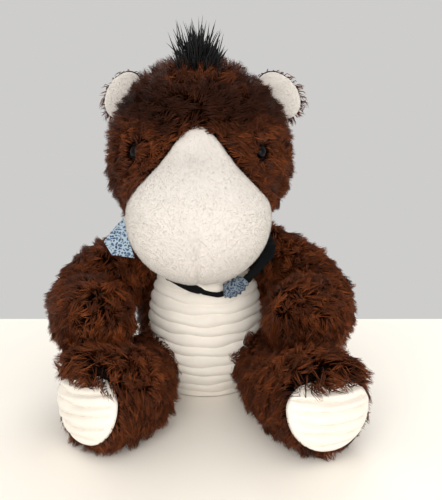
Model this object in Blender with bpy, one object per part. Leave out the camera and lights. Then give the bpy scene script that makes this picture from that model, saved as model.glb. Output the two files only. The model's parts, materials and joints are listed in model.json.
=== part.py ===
"""Seated plush horse with a ribbed belly and soles, a yarn mane and a neck ribbon.

Frame: metres, +Z up, the toy faces -Y, its own left is +X.  The origin is the
middle of the flat base that it sits on.
"""

import bpy
import bmesh
import numpy as np
from math import cos, sin, pi, radians, sqrt

# Cloth and clearances
PILE_WALL = 0.006          # brown pile fabric, backing to the middle of the pile
RIB_WALL = 0.004           # white ribbed cloth
SHORT_WALL = 0.004         # white short pile of the muzzle
GAP = 0.0003               # between touching pieces
PRESS_GAP = 0.0020         # between soft forms that press on each other
TURN_GAP = 0.0009          # round a ball that turns in its socket
FILL_GAP = 0.0014          # between a skin and its stuffing
SEAM_GAP = 0.0012          # between two panels sewn edge to edge
HEAD_SWEEP = 0.005         # room that the head needs when it turns and nods
OVERRUN = 0.003            # how far a cutter passes what it cuts
FLOOR_CUT = 0.0005         # depth of the flats that the feet rest on

# Torso
TORSO_HEIGHT = 0.146
TORSO_HALF_WIDTH = 0.064
TORSO_DEPTH_SHARE = 0.95
TORSO_HEIGHT_SHARES = (0.0, 0.16, 0.42, 0.64, 0.84, 1.0)
TORSO_WIDTH_SHARES = (0.78, 0.95, 1.0, 0.97, 0.82, 0.60)
BELLY_EDGE_DEG = 62.0      # half the belly panel's spread about the front
RIB_PITCH = 0.0105
RIB_DEPTH = 0.0018
BASE_THICKNESS = 0.005
PELLET_BAG_RADIUS = 0.030
PELLET_BAG_HEIGHT = 0.022
PELLET_BAG_SHARES = (0.0, 0.25, 0.5, 0.75, 1.0)

# Neck
NECK_RADIUS = 0.029
NECK_PIVOT = (0.0, -0.005, 0.150)

# Head and muzzle, both swelling from one middle point
HEAD_SHIFT = -0.005
HEAD_CENTRE = (HEAD_SHIFT, -0.015, 0.226)
HEAD_RADII = (0.082, 0.078, 0.088)
HEAD_LOWER_RADIUS = 0.066
MUZZLE_CENTRE = (HEAD_SHIFT, -0.080, 0.190)
MUZZLE_RADII = (0.065, 0.052, 0.060)
FACE_CENTRE = (HEAD_SHIFT, -0.045, 0.208)
FACE_TILT_DEG = 15.0
FORM_BLEND = 14.0          # a higher power keeps the muzzle more distinct
SEAM_ROUND_DEG = (90.0, 105.0, 125.0, 145.0, 165.0, 180.0, 210.0, 240.0, 270.0)
SEAM_OPEN_DEG = (79.0, 71.5, 58.0, 52.5, 57.0, 66.0, 74.0, 76.0, 76.0)

# Eyes
EYE_RADIUS = 0.006
EYE_HEIGHT = 0.0045
EYE_SPREAD = 0.054
EYE_LEVEL = 0.248
EYE_SHANK_RADIUS = 0.0015
EYE_DOME_SHARES = (0.35, 0.65, 0.88, 1.0)
WASHER_RADIUS = 0.0075
WASHER_THICKNESS = 0.0016

# Ears
EAR_REACH_ANGLE_DEG = 39.0
EAR_SET_BACK = 0.008
EAR_LENGTH = 0.031
EAR_HALF_WIDTH = 0.027
EAR_ROOT_HALF_WIDTH = 0.019
EAR_ROOT_RADIUS = 0.0045
EAR_BACK_THICKNESS = 0.0056
EAR_LINING_THICKNESS = 0.0028
EAR_LIFT = 0.001
EAR_ROOT_SHARES = (-0.9, -0.6, 0.0)
EAR_BACK_SHARES = (0.25, 0.5, 0.75, 0.92, 0.985)
EAR_LINING_SHARES = (0.16, 0.4, 0.65, 0.85, 0.985)
EAR_LINING_WIDTH_SHARE = 0.92

# Mane, a crest of yarn from the crown down the back of the head
MANE_START_DEG = 84.0
MANE_END_DEG = 192.0
MANE_HALF_WIDTH = 0.013
MANE_CROWN_HEIGHT = 0.056
MANE_BACK_HEIGHT = 0.014
MANE_SECTION_SHARES = ((-1.0, 0.0), (-0.5, 0.0), (0.0, 0.0), (0.5, 0.0), (1.0, 0.0), (0.9, 0.35),
                       (0.6, 0.75), (0.2, 1.0), (-0.2, 1.0), (-0.6, 0.75), (-0.9, 0.35))

# Tail
TAIL_ROOT = (0.0, 0.062, 0.034)
TAIL_ROOT_RADIUS = 0.008
TAIL_SWELL_RADIUS = 0.012
TAIL_LENGTH = 0.070
TAIL_TIP_RADIUS = 0.006
TAIL_ROOT_SHARES = (-1.0, -0.7, -0.3)

# Arms: middle points from shoulder to paw, for the toy's left, then its right
ARM_ROOT = (0.060, -0.005, 0.135)
ARM_ELBOW_LEFT = (0.094, -0.022, 0.109)
ARM_WRIST_LEFT = (0.104, -0.050, 0.095)
ARM_PAW_LEFT = (0.088, -0.084, 0.098)
ARM_ELBOW_RIGHT = (-0.096, -0.022, 0.112)
ARM_WRIST_RIGHT = (-0.111, -0.050, 0.094)
ARM_PAW_RIGHT = (-0.098, -0.086, 0.098)
SHOULDER_RADIUS = 0.027
ARM_RADIUS = 0.033
PAW_RADIUS = 0.034
ARM_LIFT_DEG = 25.0

# Legs: middle points from hip to sole, for the toy's left, then its right
LEG_ROOT = (0.049, -0.036, 0.036)
HIP_RADIUS = 0.028
THIGH_RADIUS = 0.031
FOOT_RADIUS = 0.040
SOLE_RADIUS = 0.0385
SOLE_EDGE_LENGTH = 0.010
SOLE_RAISE = 0.007         # tips the sole upwards
LEG_KNEE_LEFT = (0.070, -0.082)
LEG_HEEL_LEFT = (0.091, -0.122)
LEG_SOLE_LEFT = (0.103, -0.150)
LEG_KNEE_RIGHT = (-0.062, -0.082)
LEG_HEEL_RIGHT = (-0.076, -0.118)
LEG_SOLE_RIGHT = (-0.095, -0.140)
LEG_DROP_DEG = 20.0
SOLE_BULGE = 0.006
FOOT_EDGE_SHARES = (0.45, 0.8, 1.0)

# Scarf: a ribbon round the neck with a folded bandana and its knot
RIBBON_WIDTH = 0.012
RIBBON_THICKNESS = 0.0012
RIBBON_HALF_SPAN = 0.062
RIBBON_REACH = 0.0635
RIBBON_LOW = 0.1095
RIBBON_RISE = 0.0585
RIBBON_LEAN_DROP = 0.018   # leans the front of the ribbon back on to the chest
RIBBON_LINE_SHARES = ((0.0, 0.868, 0.0), (0.55, 0.81, 0.17), (0.97, 0.64, 0.67),
                      (0.78, 0.13, 0.92), (0.55, -0.50, 0.88), (0.0, -0.75, 0.80))
BANDANA_THICKNESS = 0.0012
BANDANA_FRAME = 31
BANDANA_TIP = (-0.093, -0.050, 0.160)
BANDANA_TOP = (-0.075, -0.043, 0.180)
BANDANA_BULGE = 0.003
KNOT_FRAME = 2
KNOT_FRAME_SHARES = (0.7, 1.0, 1.0, 0.7)
KNOT_DEPTH = 0.009
KNOT_HALF_HEIGHT = 0.010

# Mesh fineness
ROUND_STEPS = 28
LIMB_STEPS = 14
LIMB_ROWS = 8
CAP_ROWS = 3
TRIM_STEPS = 12

LEFT = 1.0
RIGHT = -1.0


def clear_scene():
    for old in list(bpy.data.objects):
        bpy.data.objects.remove(old, do_unlink=True)


def cloth(name, colour, roughness):
    material = bpy.data.materials.new(name)
    material.use_nodes = True
    shader = material.node_tree.nodes["Principled BSDF"]
    shader.inputs["Base Color"].default_value = (*colour, 1.0)
    shader.inputs["Roughness"].default_value = roughness
    shader.inputs["Metallic"].default_value = 0.0
    return material


BROWN = (0.085, 0.022, 0.009)
WHITE = (0.85, 0.83, 0.80)
BLACK = (0.006, 0.006, 0.007)
BLUE = (0.13, 0.28, 0.55)
FILLING = (0.88, 0.88, 0.86)
PELLETS = (0.70, 0.72, 0.70)


def add_object(name, mesh_builder, colour, roughness=0.9):
    """Make one object from a finished bmesh and give it its own material."""
    mesh = bpy.data.meshes.new(name)
    mesh_builder.to_mesh(mesh)
    mesh_builder.free()
    mesh.shade_smooth()
    mesh.set_sharp_from_angle(angle=radians(50.0))
    made = bpy.data.objects.new(name, mesh)
    bpy.context.scene.collection.objects.link(made)
    mesh.materials.append(cloth(name, colour, roughness))
    return made


def tidy(builder):
    """Join the points that meet at poles and turn every face outwards."""
    bmesh.ops.remove_doubles(builder, verts=builder.verts, dist=GAP / ROUND_STEPS)
    bmesh.ops.dissolve_degenerate(builder, edges=builder.edges, dist=GAP / ROUND_STEPS)
    bmesh.ops.recalc_face_normals(builder, faces=builder.faces)
    return builder


def grid_faces(builder, rows, wrap):
    """Fill a grid of bmesh points with four-sided faces."""
    for lower, upper in zip(rows, rows[1:]):
        count = len(lower)
        last = count if wrap else count - 1
        for column in range(last):
            following = (column + 1) % count
            builder.faces.new((lower[column], lower[following],
                               upper[following], upper[column]))


def make_skin(outer, inner, wrap=True, start_open=True, end_open=True):
    """A wall between two like grids, closed along each open edge."""
    builder = bmesh.new()
    out_rows = [[builder.verts.new(tuple(p)) for p in row] for row in outer]
    in_rows = [[builder.verts.new(tuple(p)) for p in row] for row in inner]
    grid_faces(builder, out_rows, wrap)
    grid_faces(builder, in_rows, wrap)
    if start_open:
        grid_faces(builder, [out_rows[0], in_rows[0]], wrap)
    if end_open:
        grid_faces(builder, [out_rows[-1], in_rows[-1]], wrap)
    if not wrap:
        for side in (0, -1):
            grid_faces(builder, [[row[side] for row in out_rows],
                                 [row[side] for row in in_rows]], False)
    return tidy(builder)


def make_solid(rows):
    """A closed form through rings, with a flat or pointed end at each side."""
    builder = bmesh.new()
    rings = [[builder.verts.new(tuple(p)) for p in row] for row in rows]
    grid_faces(builder, rings, True)
    for end in (0, -1):
        spread = np.ptp(np.array(rows[end]), axis=0).max()
        if spread > GAP:
            builder.faces.new(rings[end])
    return tidy(builder)


def make_cutter(name, builder):
    cutter = add_object(name, builder, WHITE)
    cutter.hide_render = True
    cutter.display_type = "WIRE"
    return cutter


def ball(centre, radius):
    builder = bmesh.new()
    bmesh.ops.create_icosphere(builder, subdivisions=3, radius=radius)
    bmesh.ops.translate(builder, verts=builder.verts, vec=centre)
    return builder


def cut(target, cutter):
    """Cut the target with a hidden cutter."""
    modifier = target.modifiers.new("cut by " + cutter.name, "BOOLEAN")
    modifier.operation = "DIFFERENCE"
    modifier.solver = "EXACT"
    modifier.object = cutter


def smooth_table(where, places, values):
    """A smooth curve through a table, flat at its two ends."""
    places = np.asarray(places, float)
    values = np.asarray(values, float)
    slopes = np.gradient(values, places)
    index = int(np.clip(np.searchsorted(places, where) - 1, 0, len(places) - 2))
    span = places[index + 1] - places[index]
    t = float(np.clip((where - places[index]) / span, 0.0, 1.0))
    rise = values[index + 1] - values[index]
    a = slopes[index] * span - rise
    b = rise - slopes[index + 1] * span
    return values[index] + rise * t + t * (1 - t) * (a * (1 - t) + b * t)


# Torso form

def torso_half_width(height):
    share = smooth_table(height / TORSO_HEIGHT, TORSO_HEIGHT_SHARES, TORSO_WIDTH_SHARES)
    return TORSO_HALF_WIDTH * share


def torso_point(angle_deg, height, inset=0.0):
    """A point on the torso, its angle counted from the front towards +X."""
    half = torso_half_width(height)
    angle = radians(angle_deg)
    across = (half - inset) * sin(angle)
    forward = (half * TORSO_DEPTH_SHARE - inset) * cos(angle)
    return np.array((across, -forward, height))


def inside_torso(point, margin):
    height = float(point[2])
    if height > TORSO_HEIGHT + margin or height < -margin:
        return False
    half = torso_half_width(min(max(height, 0.0), TORSO_HEIGHT)) + margin
    depth = half * TORSO_DEPTH_SHARE + margin
    return (point[0] / half) ** 2 + (point[1] / depth) ** 2 < 1.0


def rib_inset(distance, pitch=RIB_PITCH, depth=RIB_DEPTH):
    """How far the ribbed cloth dips below its crests at a place across the ribs."""
    return depth * (1.0 - sqrt(abs(sin(pi * distance / pitch))))


def rib_places(length, pitch=RIB_PITCH):
    """Three rows a rib, with one in each groove."""
    ribs = max(2, round(length / pitch))
    step = length / ribs
    shares = (0.0, 0.3, 0.7)
    places = [step * (rib + share) for rib in range(ribs) for share in shares]
    return places + [length], step


def belly_edge(height):
    """The belly panel narrows towards the seat and the neck."""
    share = height / TORSO_HEIGHT
    return BELLY_EDGE_DEG * (1.0 - (2.0 * share - 1.0) ** 4 / 6.0)


def edge_angle(height, gap):
    return np.degrees(gap / torso_half_width(height))


def build_torso(sockets):
    heights, pitch = rib_places(TORSO_HEIGHT - OVERRUN)
    columns = np.linspace(-1.0, 1.0, 10)
    outer = []
    inner = []
    for height in heights:
        edge = belly_edge(height) - edge_angle(height, SEAM_GAP / 2)
        dip = rib_inset(height, pitch)
        outer.append([torso_point(edge * c, height, dip) for c in columns])
        inner.append([torso_point(edge * c, height, RIB_WALL + RIB_DEPTH) for c in columns])
    belly = add_object("belly_panel", make_skin(outer, inner, wrap=False), WHITE)

    heights = np.linspace(0.0, TORSO_HEIGHT, 12)
    outer = []
    inner = []
    for height in heights:
        edge = belly_edge(height) + edge_angle(height, SEAM_GAP / 2)
        angles = np.linspace(edge, 360.0 - edge, 19)
        outer.append([torso_point(a, height) for a in angles])
        inner.append([torso_point(a, height, PILE_WALL) for a in angles])
    skin = add_object("body_skin", make_skin(outer, inner, wrap=False), BROWN)

    turn = np.linspace(0.0, 360.0, ROUND_STEPS, endpoint=False)
    rim = PILE_WALL + FILL_GAP
    base_rows = [[torso_point(a, h, rim) for a in turn] for h in (0.0, BASE_THICKNESS)]
    seat = add_object("seat_panel", make_solid(base_rows), BROWN)

    bag = build_pellet_bag()
    low = BASE_THICKNESS + GAP
    levels = np.linspace(low, TORSO_HEIGHT - OVERRUN, 9)
    filling_rows = [[torso_point(a, h, rim) for a in turn] for h in levels]
    filling = add_object("body_stuffing", make_solid(filling_rows), FILLING)
    hollow = bag_rows(GAP, low - OVERRUN)
    cut(filling, make_cutter("pellet_bag_hollow", make_solid(hollow)))
    sockets = sockets + [make_cutter("neck_hollow", ball(NECK_PIVOT, NECK_RADIUS + TURN_GAP))]
    for socket in sockets:
        for piece in (belly, skin, filling):
            cut(piece, socket)
    tail_socket = make_cutter("tail_socket", ball(TAIL_ROOT, TAIL_ROOT_RADIUS + TURN_GAP))
    cut(skin, tail_socket)
    cut(filling, tail_socket)
    return belly, skin, seat, bag, filling


def bag_rows(extra, bottom):
    """Rings of the pellet bag: a flat-bottomed, round-topped cushion."""
    rows = [[(0.0, 0.0, bottom)] * ROUND_STEPS]
    radius = PELLET_BAG_RADIUS + extra
    for share in PELLET_BAG_SHARES:
        level = BASE_THICKNESS + GAP + (PELLET_BAG_HEIGHT + extra) * sin(share * pi / 2)
        if share == 0.0:
            level = bottom
        ring = radius * sqrt(max(0.0, 1.0 - share ** 3))
        rows.append([(ring * cos(a), ring * sin(a), level) for a in ring_angles()])
    return rows


def ring_angles(steps=ROUND_STEPS):
    return [2 * pi * step / steps for step in range(steps)]


def build_pellet_bag():
    rows = bag_rows(0.0, BASE_THICKNESS + GAP)
    return add_object("pellet_bag", make_solid(rows), PELLETS)


# Head form

def ellipsoid_reach(direction, centre, radii):
    """How far an ellipsoid's surface is from the middle of the face."""
    offset = (np.array(FACE_CENTRE) - np.array(centre)) / np.array(radii)
    scaled = direction / np.array(radii)
    a = float(scaled @ scaled)
    b = float(scaled @ offset)
    c = float(offset @ offset) - 1.0
    return (-b + sqrt(b * b - a * c)) / a


def head_reach(direction):
    upper = ellipsoid_reach(direction, HEAD_CENTRE, HEAD_RADII)
    low_radii = (HEAD_RADII[0], HEAD_RADII[1], HEAD_LOWER_RADIUS)
    lower = ellipsoid_reach(direction, HEAD_CENTRE, low_radii)
    skull = upper if direction[2] > 0.0 else min(upper, lower)
    muzzle = ellipsoid_reach(direction, MUZZLE_CENTRE, MUZZLE_RADII)
    longest = max(skull, muzzle)
    total = (skull / longest) ** FORM_BLEND + (muzzle / longest) ** FORM_BLEND
    return longest * total ** (1.0 / FORM_BLEND)


def face_direction(round_deg, open_deg):
    """A direction from the face's middle, opening away from the muzzle's tip."""
    tilt = radians(FACE_TILT_DEG)
    axis = np.array((0.0, -cos(tilt), -sin(tilt)))
    up = np.array((0.0, -sin(tilt), cos(tilt)))
    side = np.array((1.0, 0.0, 0.0))
    turn = radians(round_deg)
    spread = radians(open_deg)
    ring = side * cos(turn) + up * sin(turn)
    return axis * cos(spread) + ring * sin(spread)


def head_point(round_deg, open_deg, inset=0.0):
    direction = face_direction(round_deg, open_deg)
    return np.array(FACE_CENTRE) + direction * (head_reach(direction) - inset)


def head_surface(direction, inset=0.0):
    direction = np.array(direction, float)
    direction = direction / np.linalg.norm(direction)
    return np.array(FACE_CENTRE) + direction * (head_reach(direction) - inset)


def inside_head(point, margin):
    offset = np.array(point) - np.array(FACE_CENTRE)
    distance = float(np.linalg.norm(offset))
    return distance < head_reach(offset / distance) + margin


def seam_angle(round_deg):
    """Where the white panel ends, the same on both sides of the face."""
    turn = round_deg % 360.0
    if turn < 90.0:
        turn = 180.0 - turn
    elif turn > 270.0:
        turn = 540.0 - turn
    return smooth_table(turn, SEAM_ROUND_DEG, SEAM_OPEN_DEG)


def build_head():
    turn = np.linspace(0.0, 360.0, ROUND_STEPS, endpoint=False)
    half_gap = np.degrees(SEAM_GAP / 2 / max(MUZZLE_RADII))

    outer = []
    inner = []
    for share in np.linspace(0.0, 1.0, 8):
        opens = [share * (seam_angle(t) - half_gap) for t in turn]
        outer.append([head_point(t, o) for t, o in zip(turn, opens)])
        inner.append([head_point(t, o, SHORT_WALL) for t, o in zip(turn, opens)])
    all_opens = [[share * seam_angle(t) for t in turn] for share in np.linspace(0.0, 1.0, 8)]
    panel = add_object("muzzle_panel", make_skin(outer, inner, start_open=False), WHITE)

    outer = []
    inner = []
    for share in np.linspace(0.0, 1.0, 11):
        opens = [seam_angle(t) + half_gap + share * (180.0 - seam_angle(t) - half_gap)
                 for t in turn]
        outer.append([head_point(t, o) for t, o in zip(turn, opens)])
        inner.append([head_point(t, o, PILE_WALL) for t, o in zip(turn, opens)])
    skin = add_object("head_skin", make_skin(outer, inner, end_open=False), BROWN)

    rim = PILE_WALL + 2 * FILL_GAP
    for share in np.linspace(0.0, 1.0, 11)[1:]:
        all_opens.append([seam_angle(t) + share * (180.0 - seam_angle(t)) for t in turn])
    rows = [[head_point(t, o, rim) for t, o in zip(turn, opens)] for opens in all_opens]
    filling = add_object("head_stuffing", make_solid(rows), FILLING)

    neck_socket = make_cutter("head_socket", ball(NECK_PIVOT, NECK_RADIUS + TURN_GAP))
    for piece in (skin, filling, panel):
        cut(piece, neck_socket)
    return panel, skin, filling


def build_neck():
    return add_object("neck_fill", ball(NECK_PIVOT, NECK_RADIUS), FILLING)


# Eyes

def eye_frame(side):
    """The eye's place on the skin and the direction it looks in."""
    across = side * EYE_SPREAD
    rise = EYE_LEVEL - HEAD_CENTRE[2]
    share = 1.0 - (across / HEAD_RADII[0]) ** 2 - (rise / HEAD_RADII[2]) ** 2
    ahead = -HEAD_RADII[1] * sqrt(share)
    target = np.array(HEAD_CENTRE) + np.array((across, ahead, rise))
    place = head_surface(target - np.array(FACE_CENTRE))
    outward = place - np.array(HEAD_CENTRE)
    normal = outward / np.array(HEAD_RADII) ** 2
    return place, normal / np.linalg.norm(normal)


def disc_frame(normal):
    """Two directions square to a normal and to each other."""
    helper = np.array((0.0, 0.0, 1.0))
    if abs(normal[2]) > cos(pi / 6):
        helper = np.array((1.0, 0.0, 0.0))
    first = np.cross(helper, normal)
    first /= np.linalg.norm(first)
    return first, np.cross(normal, first)


def turned_rows(origin, normal, profile, steps=TRIM_STEPS):
    """Rings of a turned form from its (radius, height) profile."""
    first, second = disc_frame(normal)
    rows = []
    for radius, height in profile:
        middle = origin + normal * height
        rows.append([middle + (first * cos(a) + second * sin(a)) * radius
                     for a in ring_angles(steps)])
    return rows


def build_eyes(head_skin, head_filling):
    made = []
    for side, word in ((LEFT, "left"), (RIGHT, "right")):
        place, normal = eye_frame(side)
        seat = -PILE_WALL / 2
        shank_end = -PILE_WALL - GAP - WASHER_THICKNESS - OVERRUN
        profile = [(0.0, shank_end), (EYE_SHANK_RADIUS, shank_end),
                   (EYE_SHANK_RADIUS, seat), (EYE_RADIUS, seat), (EYE_RADIUS, 0.0)]
        for share in EYE_DOME_SHARES:
            rise = EYE_HEIGHT * sin(share * pi / 2)
            profile.append((EYE_RADIUS * cos(share * pi / 2), rise))
        made.append(add_object("eye_" + word, make_solid(turned_rows(place, normal, profile)),
                               BLACK, 0.12))
        well = [(0.0, shank_end - GAP), (EYE_SHANK_RADIUS + GAP, shank_end - GAP),
                (EYE_SHANK_RADIUS + GAP, seat - GAP), (EYE_RADIUS + GAP, seat - GAP),
                (EYE_RADIUS + GAP, OVERRUN), (0.0, OVERRUN)]
        well_cutter = make_cutter("eye_well_" + word,
                                  make_solid(turned_rows(place, normal, well)))
        cut(head_skin, well_cutter)

        top = -PILE_WALL - GAP - GAP
        bottom = top - WASHER_THICKNESS
        hole = EYE_SHANK_RADIUS + GAP
        outer = turned_rows(place, normal, [(WASHER_RADIUS, bottom), (WASHER_RADIUS, top)])
        inner = turned_rows(place, normal, [(hole, bottom), (hole, top)])
        washer = make_skin(outer, inner)
        made.append(add_object("eye_washer_" + word, washer, WHITE, 0.4))
        wide = WASHER_RADIUS + GAP
        room = [(0.0, shank_end - GAP * 2), (wide, shank_end - GAP * 2),
                (wide, top + GAP), (0.0, top + GAP)]
        cut(head_skin, make_cutter("washer_room_" + word,
                                   make_solid(turned_rows(place, normal, room))))
        pocket = [(0.0, shank_end - GAP * 2), (wide, shank_end - GAP * 2),
                  (wide, OVERRUN), (0.0, OVERRUN)]
        cut(head_filling, make_cutter("eye_pocket_" + word,
                                      make_solid(turned_rows(place, normal, pocket))))
    return made


# Ears

def ear_frame(side):
    """The root point and the outward, along and forward directions of an ear."""
    angle = radians(EAR_REACH_ANGLE_DEG)
    outward = np.array((side * cos(angle), 0.0, sin(angle)))
    along = np.array((-side * sin(angle), 0.0, cos(angle)))
    forward = np.array((0.0, -1.0, 0.0))
    depth_share = (EAR_SET_BACK - HEAD_CENTRE[1]) / HEAD_RADII[1]
    flat = sqrt((cos(angle) / HEAD_RADII[0]) ** 2 + (sin(angle) / HEAD_RADII[2]) ** 2)
    reach = sqrt(1.0 - depth_share ** 2) / flat
    start = np.array((HEAD_CENTRE[0], EAR_SET_BACK, HEAD_CENTRE[2]))
    root = start + outward * (reach + EAR_LIFT)
    return root, outward, along, forward


def ear_half_width(share):
    """Half the ear's width from its root, share 0, to its tip, share 1."""
    growth = sin(min(1.0, share * 2) * pi / 2)
    swell = EAR_ROOT_HALF_WIDTH + (EAR_HALF_WIDTH - EAR_ROOT_HALF_WIDTH) * growth
    return swell * sqrt(max(0.0, 1.0 - share ** 4))


def slab_ring(middle, along, forward, half_width, back, front, steps=TRIM_STEPS):
    """A rounded flat ring between a back and a front depth."""
    centre = (back + front) / 2
    half_depth = (front - back) / 2
    ring = []
    for angle in ring_angles(steps):
        wide = half_width * np.sign(cos(angle)) * abs(cos(angle)) ** 0.8
        deep = centre + half_depth * np.sign(sin(angle)) * abs(sin(angle)) ** 0.6
        ring.append(middle + along * wide + forward * deep)
    return ring


def build_ears(head_skin):
    made = []
    for side, word in ((LEFT, "left"), (RIGHT, "right")):
        root, outward, along, forward = ear_frame(side)
        back_face = -EAR_ROOT_RADIUS * 0.9
        split = back_face + EAR_BACK_THICKNESS
        rows = []
        for share in EAR_ROOT_SHARES:
            drop = EAR_ROOT_RADIUS * share
            thick = EAR_ROOT_RADIUS * sqrt(1.0 - share ** 2) * 0.9
            half = EAR_ROOT_HALF_WIDTH * sqrt(1.0 - share ** 2 / 4)
            rows.append(slab_ring(root + outward * drop, along, forward, half,
                                  -thick, min(thick, split)))
        for share in EAR_BACK_SHARES:
            half = ear_half_width(share)
            thin = EAR_BACK_THICKNESS * (1.0 - share * 0.3)
            rows.append(slab_ring(root + outward * EAR_LENGTH * share, along, forward,
                                  half, split - thin, split))
        made.append(add_object("ear_back_" + word, make_solid(rows), BROWN))
        front = []
        for share in EAR_LINING_SHARES:
            half = ear_half_width(share) * EAR_LINING_WIDTH_SHARE
            near = split + GAP
            far = near + EAR_LINING_THICKNESS * (1.1 - share * 0.3)
            middle = root + outward * EAR_LENGTH * share * 0.97
            front.append(slab_ring(middle, along, forward, half, near, far))
        made.append(add_object("ear_lining_" + word, make_solid(front), WHITE))
        groove_rows = []
        for end in (-1.0, 1.0):
            middle = root + along * end * (EAR_ROOT_HALF_WIDTH + GAP)
            ring = [(outward * cos(a) + forward * sin(a)) * (EAR_ROOT_RADIUS + GAP)
                    for a in ring_angles(24)]
            groove_rows.append([middle + r for r in ring])
        cut(head_skin, make_cutter("ear_groove_" + word, make_solid(groove_rows)))
    return made


# Mane and tail

def build_mane():
    """A crest that follows the head, highest at the crown."""
    rows = []
    span = MANE_END_DEG - MANE_START_DEG
    for share in np.linspace(0.0, 1.0, 15):
        angle = radians(MANE_START_DEG + span * share)
        direction = np.array((0.0, -cos(angle), sin(angle)))
        swell = sin(min(1.0, share * 5) * pi / 2) * sqrt(max(0.0, 1.0 - share ** 6))
        fall = max(0.0, 1.0 - share * 3.2)
        height = MANE_BACK_HEIGHT + (MANE_CROWN_HEIGHT - MANE_BACK_HEIGHT) * fall
        height = height * max(swell, 0.15)
        half = MANE_HALF_WIDTH * max(swell, 0.25)
        reach = head_reach(direction)
        ring = []
        for across, up in MANE_SECTION_SHARES:
            sideways = np.array((half * across / reach, 0.0, 0.0))
            turned = direction + sideways
            base = head_surface(turned, -GAP * 2)
            ring.append(base + direction * height * up)
        rows.append(ring)
    return add_object("mane", make_solid(rows), BLACK)


def build_tail():
    """A yarn tail: a ball in the back seam, then a tuft that lies back and down."""
    root = np.array(TAIL_ROOT)
    end_level = TAIL_TIP_RADIUS + FLOOR_CUT
    drop = end_level - root[2]
    run = sqrt(TAIL_LENGTH ** 2 - drop ** 2)
    rows = []
    for share in TAIL_ROOT_SHARES:
        rows.append(level_ring(root + np.array((0.0, TAIL_ROOT_RADIUS * share, 0.0)),
                               TAIL_ROOT_RADIUS * sqrt(1.0 - share ** 2)))
    for share in np.linspace(0.0, 1.0, 9):
        middle = root + np.array((0.0, run * share, drop * sin(share * pi / 2)))
        swell = TAIL_SWELL_RADIUS - TAIL_ROOT_RADIUS
        radius = TAIL_ROOT_RADIUS + swell * sin(min(1.0, share * 1.5) * pi / 2)
        radius = radius * sqrt(max(0.0, 1.0 - share ** 5))
        ring = level_ring(middle, radius)
        rows.append([(p[0], p[1], max(p[2], GAP)) for p in ring])
    return add_object("tail", make_solid(rows), BLACK)


def level_ring(middle, radius, steps=14):
    """A ring that stands across the front-to-back direction."""
    return [middle + np.array((radius * cos(a), 0.0, radius * sin(a))) for a in ring_angles(steps)]


# Limbs

def limb_curve(points, count):
    """Evenly shared points on a smooth curve through the limb's middle points."""
    points = [np.array(p, float) for p in points]
    padded = [2 * points[0] - points[1]] + points + [2 * points[-1] - points[-2]]
    fine = []
    for a, b, c, d in zip(padded, padded[1:], padded[2:], padded[3:]):
        for t in np.linspace(0.0, 1.0, 12, endpoint=False):
            fine.append(0.5 * (2 * b + (c - a) * t + (2 * a - 5 * b + 4 * c - d) * t * t
                               + (3 * b - a - 3 * c + d) * t ** 3))
    fine.append(points[-1])
    fine = np.array(fine)
    lengths = np.concatenate(([0.0], np.cumsum(np.linalg.norm(np.diff(fine, axis=0), axis=1))))
    wanted = np.linspace(0.0, lengths[-1], count)
    return np.array([[np.interp(w, lengths, fine[:, k]) for k in range(3)] for w in wanted])


def limb_frames(curve):
    """A direction and two cross directions at each point, without twist."""
    ahead = np.gradient(curve, axis=0)
    ahead /= np.linalg.norm(ahead, axis=1)[:, None]
    first, second = disc_frame(ahead[0])
    frames = []
    for direction in ahead:
        first = first - direction * float(first @ direction)
        first /= np.linalg.norm(first)
        frames.append((direction, first, np.cross(direction, first)))
    return frames


def turn_about_x(point, pivot, degrees):
    angle = radians(degrees)
    y, z = point[1] - pivot[1], point[2] - pivot[2]
    return np.array((point[0], pivot[1] + y * cos(angle) - z * sin(angle),
                     pivot[2] + y * sin(angle) + z * cos(angle)))


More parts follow.
